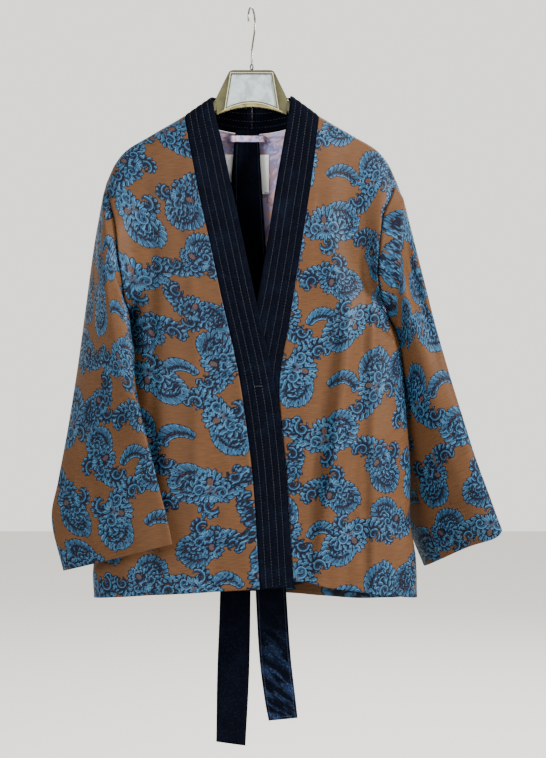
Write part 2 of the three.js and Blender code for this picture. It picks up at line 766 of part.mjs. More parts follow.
function hookGeometry() {
  const radius = hookRadius + wire / 2;
  const centreZ = -hookRadius;
  const place = (s, z) => point(s * Math.sin(hookTurn), s * Math.cos(hookTurn), z);
  const stem = [
    place(0, stemBottom),
    place(0, stemBottom + 8),
    place(1.5, stemBottom + 18),
    place(7.5, stemBottom + 32),
    place(15, stemBottom + 46),
  ];
  const arc = steps(10).map((t) => {
    const angle = lerp(degToRad(-8), degToRad(195), t);
    return place(radius * Math.cos(angle), centreZ + radius * Math.sin(angle));
  });
  const path = new THREE.CatmullRomCurve3([...stem, ...arc], false, 'centripetal');
  const section = new THREE.Shape(steps(hookSides).slice(0, -1).map((t) => {
    const angle = 2 * Math.PI * t;
    return new THREE.Vector2(Math.cos(angle), Math.sin(angle)).multiplyScalar(wire / 2);
  }));
  return new THREE.ExtrudeGeometry(section, { steps: hookSteps, extrudePath: path, bevelEnabled: false });
}

function eyeGeometry() {
  const geometry = new THREE.TorusGeometry((eye.width - eye.wire) / 2, eye.wire / 2, 8, 20);
  geometry.scale(1, eye.height / eye.width, 1);
  geometry.rotateX(Math.PI / 2);
  geometry.translate(0, 0, eyeBottom + eye.height / 2);
  return geometry;
}

// Every cloth wall, with the seam points still shared
const rightFront = frontGrid('right');
const leftFront = frontGrid('left');
const back = backGrid();
const rightTube = sleeveGrid(rightSleeve, rightSleeveFolds, armholeRing(rightFront, back, 'right'));
const leftTube = sleeveGrid(leftSleeve, leftSleeveFolds, armholeRing(leftFront, back, 'left'));
const [rightSleeveFront, rightSleeveBack] = sleeveHalves(rightTube, true);
const [leftSleeveFront, leftSleeveBack] = sleeveHalves(leftTube, false);
const walls = {
  right_front: { points: rightFront, flip: false, thickness: brocade },
  left_front: { points: leftFront, flip: true, thickness: brocade },
  back: { points: back, flip: false, thickness: brocade },
  right_sleeve_front: rightSleeveFront,
  right_sleeve_back: rightSleeveBack,
  left_sleeve_front: leftSleeveFront,
  left_sleeve_back: leftSleeveBack,
  collar_right: { points: bandGrid('right', rightFront, back), flip: true, thickness: velvetBand },
  collar_left: { points: bandGrid('left', leftFront, back), flip: false, thickness: velvetBand },
};
for (const wall of Object.values(walls)) wall.normals ??= gridNormals(wall);

const middleColumn = shoulderColumns + neckColumns / 2;
const liningSpan = steps(2 * liningColumns).map((t) => middleColumn + (2 * t - 1) * liningColumns);
const liningList = steps(liningRows - 1).map((t) => 1 + t * (liningRows - 1));
walls.back_lining = {
  points: layer(back, walls.back.normals, liningList, liningSpan, brocade + seamGap),
  flip: false,
  thickness: lining,
};
const clearOfLining = brocade + seamGap + lining + 3 * seamGap;
walls.label = {
  points: patchGrid(label.left, label.right, label.top, label.bottom, 4, 3,
    (x, z) => insideBack(x, z) - clearOfLining),
  flip: false,
  thickness: labelCloth,
};
walls.hang_loop = {
  points: patchGrid(loop.left, loop.right, loop.top, loop.bottom, 10, 1, (x, z, u) => {
    const seated = insideBack(x, z) - clearOfLining - loop.seat;
    return lerp(seated, beltFold.frontY - seamGap, Math.min(1, 5 * Math.sin(Math.PI * u)));
  }),
  flip: false,
  thickness: lining,
};
walls.belt = { points: beltGrid(), flip: false, thickness: beltCloth };
for (const wall of Object.values(walls)) wall.normals ??= gridNormals(wall);
sewSeams(Object.values(walls));

const jacket = new THREE.Group();

function addMesh(name, geometry, color, roughness, metalness = 0) {
  const mesh = new THREE.Mesh(geometry, new THREE.MeshStandardMaterial({ color, roughness, metalness }));
  mesh.name = name;
  jacket.add(mesh);
}

const finishes = {
  right_front: [colours.brocade, 0.5],
  left_front: [colours.brocade, 0.5],
  back: [colours.brocade, 0.5],
  right_sleeve_front: [colours.brocade, 0.5],
  right_sleeve_back: [colours.brocade, 0.5],
  left_sleeve_front: [colours.brocade, 0.5],
  left_sleeve_back: [colours.brocade, 0.5],
  collar_right: [colours.velvet, 0.9],
  collar_left: [colours.velvet, 0.9],
  back_lining: [colours.lining, 0.6],
  label: [colours.label, 0.8],
  hang_loop: [colours.lining, 0.6],
  belt: [colours.belt, 0.9],
};
for (const [name, finish] of Object.entries(finishes)) addMesh(name, wallGeometry(walls[name]), ...finish);
addMesh('hanger', hangerGeometry(), colours.acrylic, 0.15);
addMesh('hook', bareGeometry(hookGeometry()), colours.chrome, 0.2, 1);
addMesh('hook_eye', bareGeometry(eyeGeometry()), colours.darkMetal, 0.35, 1);

export default jacket;
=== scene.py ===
import math
import bpy
import numpy as np
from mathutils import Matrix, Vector


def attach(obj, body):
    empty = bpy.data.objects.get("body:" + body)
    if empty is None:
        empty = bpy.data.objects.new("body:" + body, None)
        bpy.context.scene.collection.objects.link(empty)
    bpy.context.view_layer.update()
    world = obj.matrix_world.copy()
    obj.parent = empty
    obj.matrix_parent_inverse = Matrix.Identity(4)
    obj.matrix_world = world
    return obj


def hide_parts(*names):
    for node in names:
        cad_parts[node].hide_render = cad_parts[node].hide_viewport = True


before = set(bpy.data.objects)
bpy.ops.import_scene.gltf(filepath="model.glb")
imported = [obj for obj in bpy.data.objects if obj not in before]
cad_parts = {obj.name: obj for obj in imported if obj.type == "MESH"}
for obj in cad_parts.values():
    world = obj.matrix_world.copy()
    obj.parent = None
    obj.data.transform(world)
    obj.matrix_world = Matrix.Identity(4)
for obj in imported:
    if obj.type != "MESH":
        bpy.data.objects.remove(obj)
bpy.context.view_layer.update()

# A kimono jacket of scroll brocade with a velvet band and belt, on its hanger.
# The tables are in millimetres, in the frame's own axes: +Z up, front to -Y, origin at the hook's seat.
mm = 0.001

cut = {
    "neckHalf": 96, "neckZ": -153, "backNeckDrop": 21, "tipHalf": 207, "tipZ": -248,
    "underarmZ": -446, "hemZ": -839, "roundness": 2.4, "armholeReach": 12, "underlap": 4.8,
    "cloth": 1.1, "gap": 0.2, "shoulderShare": 0.72,
}
rows = {"armhole": 120, "body": 240, "front": 150, "back": 240, "sleeve": 306, "band": 36, "coarse": 3,
        "join": 7}

shoulders = {"out": [0, 56, 96, 147, 178, 195, 207], "z": [-105, -126, -153, -183, -202, -222, -248]}
frontFall = {"drop": [0, 4, 12, 30, 60, 100, 170, 260, 400, 700],
             "depth": [0, 8.5, 15, 23, 32, 40, 48, 54, 60, 68]}
backFall = {"drop": [0, 4, 12, 30, 69, 120, 200, 320, 700], "depth": [0, 8.5, 15, 25, 44, 52, 56, 60, 64]}
rightEdge = {"z": [-248, -282, -309, -360, -400, -446, -520, -600, -700, -797, -839],
             "out": [207, 199, 192, 186, 181, 178, 188, 199, 213, 226, 225]}
leftEdge = {"z": [-248, -268, -297, -337, -375, -400, -425, -446, -480, -534, -586, -658, -730, -782, -839],
            "out": [207, 199, 186, 180.5, 177, 179.5, 186.5, 198, 212, 217, 221, 226, 226, 234, 236]}
armholes = {"z": [-248, -260, -300, -350, -400, -430, -446], "depth": [0, 15, 34, 44, 36, 18, 0]}
rightHem = {"out": [-12, 71, 170, 225], "z": [-821, -826, -833, -839]}
leftHem = {"out": [58, 80, 110, 175, 236], "z": [-811, -812, -820, -830, -839]}
backHem = {"x": [-226, -100, 0, 60, 140, 200, 236], "z": [-839, -838, -838.5, -841, -847, -845, -839]}

# Each band: its seam, then the free edge beside it
rightBand = {
    "z": [-153, -159, -170, -186, -216, -281, -331, -418, -475, -528, -579, -669, -821],
    "out": [96, 95, 93, 90, 84, 71, 59.5, 40.7, 27.4, 16.3, 8.6, -2.5, -12.3],
    "inOut": [56, 55.5, 54, 50, 42, 27.5, 16.5, -4, -18, -30.5, -39.5, -48.5, -57.7],
    "inY": [0, -7, -11, -13, -19, -32, -44, -55.5, -58.3, -60.3, -61.8, -63.7, -67.2],
    "inZ": [-125.5, -129, -139, -158, -190, -257, -308, -405, -467, -524, -574, -667, -818.5],
}
leftBand = {
    "z": [-153, -159, -170, -186, -228, -290, -359, -424, -460, -500, -537, -579, -669, -811],
    "out": [96, 95.3, 94, 92, 87, 78, 67.5, 57, 51.3, 43.4, 39.4, 40.8, 49.9, 58.3],
    "inOut": [55.5, 55, 54, 51, 44, 33, 22, 10, 0.5, -6.5, -9.5, -7.5, 1.5, 10],
    "inY": [0, -7, -11, -13, -20, -34, -48, -56.5, -58.3, -59.8, -61, -62.3, -64.5, -67.8],
    "inZ": [-123.5, -128, -138, -156, -197, -263, -338, -408, -452, -497, -537, -577, -667, -809],
}
backBand = {"out": [0, 24, 48, 72, 90, 96], "inOut": [0, 17, 34, 51, 56, 56.5],
            "inY": [36.5, 35.5, 31.5, 21.5, 10, 0], "inZ": [-126, -125.8, -125, -124, -124.2, -124.8]}

# Soft folds: the path from its top through its middle to its foot, then height and half width
foldColumns = ("topX", "topZ", "midX", "midZ", "lowX", "lowZ", "height", "half")
leftFolds = [
    (141, -385, 124, -580, 90, -806, 10, 13.5),
    (122, -385, 102, -580, 62, -806, -5.5, 13),
    (190, -500, 184, -640, 178, -820, 4, 18),
    (100, -260, 112, -330, 118, -400, 3, 16),
    (96, -205, 82, -300, 74, -420, 1.6, 7),
    (152, -230, 158, -300, 160, -380, -2.2, 8),
    (205, -560, 206, -660, 208, -800, -2, 9),
    (158, -420, 150, -600, 132, -812, -2.4, 8),
    (176, -300, 178, -380, 170, -470, 4, 8),
]
rightFolds = [
    (-125, -270, -122, -400, -118, -560, 3, 16),
    (-70, -520, -78, -660, -88, -822, 4, 20),
    (-170, -640, -172, -730, -176, -830, 4, 18),
    (-150, -215, -146, -290, -139, -400, -2, 9),
    (-98, -220, -88, -330, -76, -480, 1.4, 8),
    (-40, -600, -44, -700, -50, -815, -1.6, 9),
]
backFolds = [
    (-150, -300, -142, -560, -138, -840, 6, 20),
    (-60, -380, -66, -600, -78, -845, 5, 24),
    (30, -420, 26, -640, 18, -848, 5, 22),
    (112, -340, 116, -580, 124, -845, 6, 22),
    (178, -480, 182, -660, 190, -840, 5, 16),
    (-112, -240, -106, -360, -98, -520, -2, 10),
    (74, -230, 80, -330, 88, -460, -2, 10),
    (-176, -420, -180, -560, -190, -780, -2.4, 9),
]

sleeveColumns = ("outX", "outZ", "inX", "inZ", "y", "half", "turn")
rightSleeve = [
    (-212, -266, -186, -457, -4, 48, 8),
    (-222, -318, -183, -475, -12, 52, 24),
    (-231, -375, -173, -494, -22, 54, 40),
    (-240, -440, -165, -524, -32, 54, 52),
    (-250, -520, -154, -564, -42, 52, 60),
    (-262, -600, -141, -618, -48, 48, 65),
    (-275, -672, -127, -675, -52, 43, 68),
    (-284, -728, -115, -724, -55, 40, 71),
    (-267, -800, -109, -756, -57, 38, 73),
]
leftSleeve = [
    (216, -270, 202.5, -457, 2, 46, -4),
    (230, -326, 208, -481, 4, 48, -11),
    (246, -392, 212, -513, 9, 50, -20),
    (262, -455, 214, -550, 14, 50, -29),
    (284, -532, 213, -598, 19, 50, -38),
    (303, -592, 214, -648, 23, 50, -45),
    (322, -650, 219, -699, 26, 49, -51),
    (341, -700, 231, -752, 28, 48, -54),
    (355, -738, 251, -802, 29, 47, -57),
]
# Folds of the sleeves: station where each starts, peaks and ends, place round the ring, reach, and push
rightSleeveFolds = [
    (0, 2, 7, 115, 32, 20, -8, 0),
    (1, 5, 11, 60, 16, 0, -1.8, 0),
    (3, 8, 14, 150, 18, 1.5, -2.2, 0),
    (4, 9, 14, 250, 22, 0, 3, 0),
    (1, 4, 9, 310, 18, 0, 2.4, 0),
]
leftSleeveFolds = [
    (0, 3, 9, 78, 22, 0, 15, 0),
    (9, 13, 14, 95, 36, 2, 0, -9),
    (2, 6, 12, 40, 13, 0, -2.2, 0),
    (4, 9, 14, 120, 16, 0, -2.6, 0),
    (1, 5, 11, 230, 20, 0, 3, 0),
    (4, 9, 14, 300, 18, 0, 2.4, 0),
]


def through(xs, ys):
    # A smooth curve through a table's points, held level past its ends
    xs = np.array(xs, float)
    ys = np.array(ys, float)
    if xs[0] > xs[-1]:
        xs = xs[::-1]
        ys = ys[::-1]
    slopes = np.gradient(ys, xs)
    slopes[1:-1] = (ys[2:] - ys[:-2]) / (xs[2:] - xs[:-2])

    def curve(x):
        x = np.clip(x, xs[0], xs[-1])
        i = np.clip(np.searchsorted(xs, x, side="right") - 1, 0, len(xs) - 2)
        width = xs[i + 1] - xs[i]
        t = (x - xs[i]) / width
        rise = ys[i + 1] - ys[i]
        bend = (1 - t) * (width * slopes[i] - rise) - t * (width * slopes[i + 1] - rise)
        return ys[i] + rise * t + t * (1 - t) * bend
    return curve


def lerp(a, b, t):
    return a + (b - a) * t


def ease(x, low, high):
    t = np.clip((x - low) / (high - low), 0, 1)
    return t * t * (3 - 2 * t)


def points(x, y, z):
    return np.stack(np.broadcast_arrays(x, y, z), axis=-1).astype(float)


ridge = through(shoulders["out"], shoulders["z"])
falls = {"front": through(frontFall["drop"], frontFall["depth"]),
         "back": through(backFall["drop"], backFall["depth"])}
armhole = through(armholes["z"], armholes["depth"])
edges = {"right": through(rightEdge["z"], rightEdge["out"]), "left": through(leftEdge["z"], leftEdge["out"])}
signs = {"right": -1, "left": 1}
bands = {"right": rightBand, "left": leftBand}
hems = {"right": through(rightHem["out"], rightHem["z"]), "left": through(leftHem["out"], leftHem["z"])}

underarmPart = (cut["underarmZ"] - cut["tipZ"]) / (cut["hemZ"] - cut["tipZ"])
armholeSteps = np.linspace(0, 1, rows["armhole"] + 1)
bodyParts = np.concatenate([
    underarmPart * lerp(armholeSteps, (1 - np.cos(math.pi * armholeSteps)) / 2, 0.6),
    np.linspace(underarmPart, 1, rows["body"] + 1)[1:],
])


def spread(t, inner, edge, roundness):
    start = np.arcsin(np.sign(inner) * np.abs(inner / edge) ** (cut["roundness"] / 2))
    sine = np.sin(lerp(start, math.pi / 2, t))
    curved = edge * np.sign(sine) * np.abs(sine) ** (2 / cut["roundness"])
    return lerp(lerp(inner, edge, t), curved, roundness)


def foldHeight(folds, x, z):
    total = np.zeros(np.broadcast(x, z).shape)
    for fold in folds:
        f = dict(zip(foldColumns, fold))
        path = through([f["topZ"], f["midZ"], f["lowZ"]], [f["topX"], f["midX"], f["lowX"]])
        away = (x - path(z)) / f["half"]
        total = total + f["height"] * ease(f["topZ"] - z, 0, 90) * np.exp(-away * away)
    return total


def bodyDepth(face, out, z, edge, edgeDepth):
    full = falls[face](ridge(np.abs(out)) - z)
    across = np.minimum(np.abs(out / edge), 1)
    roundPart = (1 - across ** cut["roundness"]) ** (1 / cut["roundness"])
    return full * roundPart + edgeDepth * across ** cut["armholeReach"]


def roundAt(z):
    return ease(-z, 380, 450)


def underlapAt(z):
    return cut["underlap"] * ease(-z, 325, 400)


def softWaves(x, z, seed):
    # The slight unevenness of hanging cloth: long upright waves, each a little different
    draw = np.random.default_rng(seed)
    total = np.zeros(np.broadcast(x, z).shape)
    for _ in range(9):
        length = draw.uniform(38, 95)
        tilt = draw.normal(0, 0.16)
        swell = np.sin(z / draw.uniform(90, 210) + draw.uniform(0, 6.3))
        phase = draw.uniform(0, 6.3)
        total = total + 0.3 * swell * np.sin((x + tilt * z) * 2 * math.pi / length + phase)
    return total


def frontGrid(side):
    sign, band, edge = signs[side], bands[side], edges[side]
    seam = through(band["z"], band["out"])
    folds = leftFolds if side == "left" else rightFolds
    bandHemZ = band["z"][-1]
    part = bodyParts[:, None]
    t = np.linspace(0, 1, rows["front"] + 1)[None, :]
    sideZ = lerp(cut["tipZ"], cut["hemZ"], part)
    seamOut = seam(lerp(cut["neckZ"], bandHemZ, part))
    out = spread(t, seamOut, edge(sideZ), roundAt(sideZ))
    even = (out - seamOut) / (edge(sideZ) - seamOut)
    top = ridge(lerp(cut["neckHalf"], cut["tipHalf"], even))
    low = hems[side](lerp(band["out"][-1], edge(cut["hemZ"]), even))
    z = lerp(top, low, part)
    flat = bodyDepth("front", out, z, edge(sideZ), armhole(sideZ))
    fade = np.sqrt(np.maximum(1 - t * t, 0)) * ease(t, 0, 0.15)
    raised = (foldHeight(folds, sign * out, z) + softWaves(out, z, 11 + sign)) * fade
    tuck = underlapAt(z) * (1 - ease(out, 62, 150)) if side == "left" else 0
    y = tuck - flat - raised
    if side == "left":
        y = y + dartPinch(sign * out, z)
    return points(sign * out, y, z)


dart = {"fromX": 158, "fromZ": -440, "toX": 199, "toZ": -472, "depth": 2.4, "half": 3.5}


def dartPinch(x, z):
    # The dart closes the side under the arm: a narrow groove that fades at its point
    along = (x - dart["fromX"]) / (dart["toX"] - dart["fromX"])
    line = lerp(dart["fromZ"], dart["toZ"], along)
    away = (z - line) / dart["half"]
    return dart["depth"] * ease(along, 0, 0.35) * np.exp(-away * away) * (1 - ease(along, 1, 1.1))


def backPoints(part, x):
    sideZ = lerp(cut["tipZ"], cut["hemZ"], part)
    edge = np.where(x < 0, edges["right"](sideZ), edges["left"](sideZ))
    sign = np.where(x < 0, -1, 1)
    t = np.abs(x) / cut["tipHalf"]
    out = spread(t, 0, edge, roundAt(sideZ))
    even = out / edge
    topX = even * cut["tipHalf"]
    neckLine = cut["neckZ"] - cut["backNeckDrop"] * (1 - (topX / cut["neckHalf"]) ** 2)
    topZ = np.where(topX < cut["neckHalf"], neckLine, ridge(topX))
    hemEdge = np.where(x < 0, edges["right"](cut["hemZ"]), edges["left"](cut["hemZ"]))
    hem = through(backHem["x"], backHem["z"])(sign * even * hemEdge)
    z = lerp(topZ, hem, part)
    flat = bodyDepth("back", out, z, edge, armhole(sideZ))
    raised = (foldHeight(backFolds, sign * out, z) + softWaves(sign * out, z, 21)) * np.sqrt(1 - t * t)
    return points(sign * out, flat + raised * ease(part, 0, 0.08), z)


def backGrid():
    count = rows["back"] // 2
    shoulderCount = round(count * cut["shoulderShare"])
    shoulder = np.linspace(-cut["tipHalf"], -cut["neckHalf"], shoulderCount + 1)
    neck = np.linspace(-cut["neckHalf"], cut["neckHalf"], 2 * (count - shoulderCount) + 1)[1:-1]
    tops = np.concatenate([shoulder, neck, -shoulder[::-1]])
    return backPoints(bodyParts[:, None], tops[None, :])


def armholeRing(front, back, side):
    count = rows["armhole"]
    backEdge = back[1:count, -1] if side == "left" else back[1:count, 0]
    return np.concatenate([front[:count + 1, -1], backEdge[::-1]])


def sleeveGrid(table, folds, ring):
    stations = len(table) - 1
    at = np.linspace(0, 1, rows["sleeve"])[:, None]
    knots = np.linspace(0, 1, stations + 1)
    curve = {name: through(knots, [row[k] for row in table])(at) for k, name in enumerate(sleeveColumns)}
    turn = np.radians(curve["turn"])
    place = np.linspace(0, 1, len(ring), endpoint=False)[None, :]
    angle = 2 * math.pi * place
    reach = np.cos(angle + turn)
    x = curve["inX"] + (curve["outX"] - curve["inX"]) / 2 * (1 + reach)
    z = curve["inZ"] + (curve["outZ"] - curve["inZ"]) / 2 * (1 + reach)
    y = curve["y"] - curve["half"] * np.sin(angle)
    grid = points(x, y, z)
    index = 1 + at * 12
    for start, peak, end, degrees, reachDegrees, pushX, pushY, pushZ in folds:
        rise = ease(index, start, peak) * (1 - ease(index, peak, end))
        away = (place * 360 - degrees) / reachDegrees
        push = rise * np.exp(-away * away)
        grid = grid + push[..., None] * np.array([pushX, pushY, pushZ])
    join = np.array([lerp(ring, grid[0], t) for t in np.linspace(0, 1, rows["join"])[:-1]])
    grid = np.concatenate([join, grid])
    swell = softWaves(place * 340, np.linspace(0, 560, len(grid))[:, None], 31 + len(folds))
    fade = ease(np.arange(len(grid)), 0, 50)[:, None]
    outward = gridNormals(grid, True)
    return grid + outward * (swell * fade * 0.8)[..., None]


def gridNormals(grid, closed):
    if closed:
        du = np.roll(grid, -1, axis=1) - np.roll(grid, 1, axis=1)
    else:
        du = np.gradient(grid, axis=1)
    dv = np.gradient(grid, axis=0)
    normals = np.cross(du, dv)
    return normals / np.maximum(np.linalg.norm(normals, axis=2, keepdims=True), 1e-9)


def bandRows(side, front, back):
    # Seam and free edge of the band, from the centre back round the neck and down the front
    sign, band = signs[side], bands[side]
    middle = back.shape[1] // 2
    neckCount = middle - round(middle * cut["shoulderShare"])
    seamBack = back[0, [middle + sign * i for i in range(neckCount)]]
    reach = np.abs(seamBack[:, 0])
    names = ("inOut", "inY", "inZ")
    freeBack = [through(backBand["out"], backBand[name])(reach) for name in names]
    seamFront = front[:, 0]
    freeFront = [through(band["z"], band[name])(seamFront[:, 2]) for name in names]
    if side == "left":
        freeFront[1] = freeFront[1] + underlapAt(seamFront[:, 2])
    free = [np.concatenate([b, f]) for b, f in zip(freeBack, freeFront)]
    return np.concatenate([seamBack, seamFront]), points(sign * free[0], free[1], free[2])


band = {"thickness": 2.6, "lines": (0.2, 0.4, 0.6, 0.8), "puff": 0.7, "rollEdge": 1.1}


def bandGrid(side, front, back):
    seam, free = bandRows(side, front, back)
    t = np.linspace(0, 1, rows["band"] + 1)
    grid = lerp(seam[:, None], free[:, None], t[None, :, None])
    normals = gridNormals(grid, False) * (1 if side == "left" else -1)
    crown = band["puff"] * np.abs(np.sin(math.pi * t * 5)) ** 0.7 - band["rollEdge"] * (2 * t - 1) ** 8
    return grid + normals * crown[None, :, None]


print("cloth forms")
rightFront = frontGrid("right")
leftFront = frontGrid("left")
backBody = backGrid()
rightTube = sleeveGrid(rightSleeve, rightSleeveFolds, armholeRing(rightFront, backBody, "right"))
leftTube = sleeveGrid(leftSleeve, leftSleeveFolds, armholeRing(leftFront, backBody, "left"))

# The scroll repeat, drawn on a fine raster: every leaf and curl lies over the ones before
scroll = {"wide": 208, "high": 300, "pitch": 0.5, "outline": 1.0}
rasterSize = (round(scroll["high"] / scroll["pitch"]), round(scroll["wide"] / scroll["pitch"]))
field = {"leaf": np.full(rasterSize, -8.0), "line": np.zeros(rasterSize),
         "tone": np.zeros(rasterSize), "net": np.zeros(rasterSize)}


def window(x, y, reach):
    # The raster's cells near a place, and their offsets from it; the repeat drops by half at each column
    high, wide = rasterSize
    step = scroll["pitch"]
    column = np.arange(math.floor((x - reach) / step), math.ceil((x + reach) / step) + 1)
    row = np.arange(math.floor((y - reach) / step), math.ceil((y + reach) / step) + 1)
    drop = (column // wide) * (high // 2)
    cells = ((row[:, None] + drop[None, :]) % high, np.broadcast_to(column % wide, (len(row), len(column))))
    return cells, (column * step - x)[None, :], (row * step - y)[:, None]


def lay(cells, inside, line, tone, net=0.0):
    over = inside > -scroll["outline"]
    field["leaf"][cells] = np.where(over, inside, np.maximum(field["leaf"][cells], inside))
    for name, value in (("line", line), ("tone", tone), ("net", net)):
        field[name][cells] = np.where(over, value, field[name][cells])


def lobe(x, y, heading, length, width, bend, tone):
    # A leaf with a broad round tip that bends aside, lighter along its outer edge
    cells, dx, dy = window(x, y, 1.2 * length + width)
    c, s = math.cos(heading), math.sin(heading)
    along = (dx * c + dy * s) / length
    across = dy * c - dx * s - bend * length * along * np.abs(along)
    half = width * np.sin(math.pi * np.clip(along, 0, 1) ** 1.7) ** 0.52
    inside = np.minimum(half - np.abs(across), np.minimum(along, 1 - along) * length + 0.4)
    lay(cells, inside, across / 3.3 + 0.35, tone + 0.35 * along - 0.6 * np.sign(bend) * across / width)


def tooth(x, y, heading, length, width, bend, tone):
    # A narrow pointed leaflet, for feathered edges
    cells, dx, dy = window(x, y, 1.2 * length + width)
    c, s = math.cos(heading), math.sin(heading)
    along = (dx * c + dy * s) / length
    across = dy * c - dx * s - bend * length * along * np.abs(along)
    half = width * np.sin(math.pi * np.clip(along, 0, 1) ** 0.7) ** 0.8
    inside = np.minimum(half - np.abs(across), np.minimum(along + 0.05, 1 - along) * length)
    lay(cells, inside, 0.3 + 0 * along, tone + 0.35 * along)


def curl(x, y, start, turns, outer, inner, thick, hand, tone):
    # A scroll that winds in to its eye, with lines running along it
    cells, dx, dy = window(x, y, outer + thick + 2)
    away = np.hypot(dx, dy)
    best = np.full(away.shape, -30.0)
    line = np.zeros(away.shape)
    shade = np.zeros(away.shape)
    for t in np.linspace(0, 1, round(30 * turns)):
        angle = start + hand * 2 * math.pi * turns * t
        radius = outer * (inner / outer) ** t
        apart = np.hypot(dx - radius * math.cos(angle), dy - radius * math.sin(angle))
        inside = lerp(thick, 0.45 * thick, t) - apart
        nearer = inside > best
        best = np.where(nearer, inside, best)
        line = np.where(nearer, (away - radius) / 3.3 + 0.4, line)
        shade = np.where(nearer, (away - radius) / thick, shade)
    lay(cells, best, line, tone + 0.6 * shade)
    lay(cells, 0.7 * inner - away, 0.3 + 0 * away, tone + 0.35)


def ruffle(x, y, start, turns, outer, inner, hand, count, length, width, tone, leaf):
    # Leaves that stand out of a scroll's back, the longest in the middle
    for k in range(count):
        t = (k + 0.5) / count
        angle = start + hand * 2 * math.pi * turns * t
        radius = outer * (inner / outer) ** t
        size = length * (0.6 + 0.5 * math.sin(math.pi * t))
        leaf(x + radius * math.cos(angle), y + radius * math.sin(angle), angle - hand * 0.6, size, width,
             -hand * 0.25, tone + 0.16 * (k % 2))


def netted(x, y, heading, length, width, tone):
    # An oval ground of netting
    cells, dx, dy = window(x, y, max(length, width) + 2)
    c, s = math.cos(heading), math.sin(heading)
    along, across = (dx * c + dy * s) / length, (dy * c - dx * s) / width
    inside = (1 - np.hypot(along, across)) * min(length, width)
    lay(cells, inside, 0.3 + 0 * inside, tone, 1.0)


def palmette(x, y, heading, opening, count, length, width, tone):
    # Round leaves in a fan, the outer ones first, over a shorter fan and a netted heart
    for scale, share in ((1.0, 0.0), (0.7, 0.2), (0.42, 0.05)):
        for k in sorted(range(count), key=lambda k: -abs(k - (count - 1) / 2)):
            away = (k - (count - 1) / 2) / ((count - 1) / 2)
            size = scale * length * (1 - 0.22 * away * away)
            lobe(x, y, heading + away * opening, size, width * (0.55 + 0.45 * scale), 0.12 * (away or 0.3),
                 tone + share + 0.12 * (k % 2))
    netted(x + 0.2 * length * math.cos(heading), y + 0.2 * length * math.sin(heading), heading,
           0.24 * length, 0.16 * length, tone)


def spray(x, y, heading, length, turn, reach, tone):
    # A leafy branch: its spine bends steadily and leaves grow to both sides, laid from the tip back
    count = 9
    spots = []
    for k in range(count):
        spots.append((x, y, heading, k / (count - 1)))
        heading += turn / count
        x += length / count * math.cos(heading)
        y += length / count * math.sin(heading)
    hand = math.copysign(1, turn)
    curl(x - 0.2 * hand * reach * math.sin(heading), y + 0.2 * hand * reach * math.cos(heading),
         heading - hand * math.pi / 2, 1.2, 0.36 * reach, 0.1 * reach, 0.15 * reach, hand, tone + 0.1)
    for k, (sx, sy, angle, t) in enumerate(reversed(spots)):
        size = reach * (0.5 + 0.6 * math.sin(math.pi * (0.1 + 0.75 * t)))
        shade = tone + 0.25 * (k % 2)
        lobe(sx, sy, angle - hand * 0.95, size, 0.22 * reach, hand * 0.28, shade)
        lobe(sx, sy, angle + hand * 0.85, 0.75 * size, 0.18 * reach, -hand * 0.25, shade - 0.15)


def rosette(x, y, turn, size, hand, tone):
    # A palmette between two ruffled curls
    def spot(out, aside):
        return (x + size * (out * math.cos(turn) - aside * math.sin(turn)),
                y + size * (out * math.sin(turn) + aside * math.cos(turn)))
    netted(*spot(-0.25, 0), turn, 0.42 * size, 0.62 * size, tone)
    palmette(*spot(-0.1, 0), turn, 1.7, 11, 0.98 * size, 0.13 * size, tone)
    for aside in (-1, 1):
        place = spot(-0.42, 0.6 * aside)
        start = turn - aside * 1.2
        ruffle(*place, start, 0.95, 0.4 * size, 0.2 * size, aside * hand, 9, 0.4 * size, 0.1 * size,
               tone, lobe)
        curl(*place, start, 1.4, 0.34 * size, 0.07 * size, 0.1 * size, aside * hand, tone + 0.1)
    for aside in (-0.9, -0.45, 0, 0.45, 0.9):
        lobe(*spot(-0.45, 0), turn + math.pi + aside, 0.6 * size, 0.11 * size, 0.2 * (aside or 0.4),
             tone + 0.1)


def crescent(x, y, start, size, hand, tone):
    # A broad feathered scroll with round leaves at its back
    ruffle(x, y, start, 0.8, 0.82 * size, 0.42 * size, hand, 17, 0.36 * size, 0.07 * size, tone + 0.1, tooth)
    ruffle(x, y, start + hand * 0.3, 0.6, 0.86 * size, 0.66 * size, hand, 7, 0.5 * size, 0.15 * size,
           tone, lobe)
    ruffle(x, y, start, 0.95, 0.6 * size, 0.3 * size, -hand, 6, 0.3 * size, 0.1 * size, tone + 0.2, lobe)
    curl(x, y, start, 1.3, 0.72 * size, 0.13 * size, 0.15 * size, hand, tone)


def bouquet(x, y, turn, size, hand, tone):
    # A rosette among curls and branches, each group turned and sized in its own way
    def spot(angle, out):
        return x + size * out * math.cos(turn + hand * angle), y + size * out * math.sin(turn + hand * angle)
    for angle, length, bend in ((2.5, 2.0, -2.1), (-2.1, 1.9, 2.2), (0.7, 1.7, 1.9)):
        spray(*spot(angle, 0.35), turn + hand * angle, length * size, hand * bend, 0.56 * size, tone)
    for angle, out, share, way in ((1.75, 1.1, 0.6, 1), (-1.25, 1.25, 0.55, -1), (3.1, 1.05, 0.6, -1)):
        crescent(*spot(angle, out), turn + hand * (angle + 0.9), share * size, hand * way, tone + 0.12)
    rosette(x, y, turn, 0.95 * size, hand, tone + 0.05)


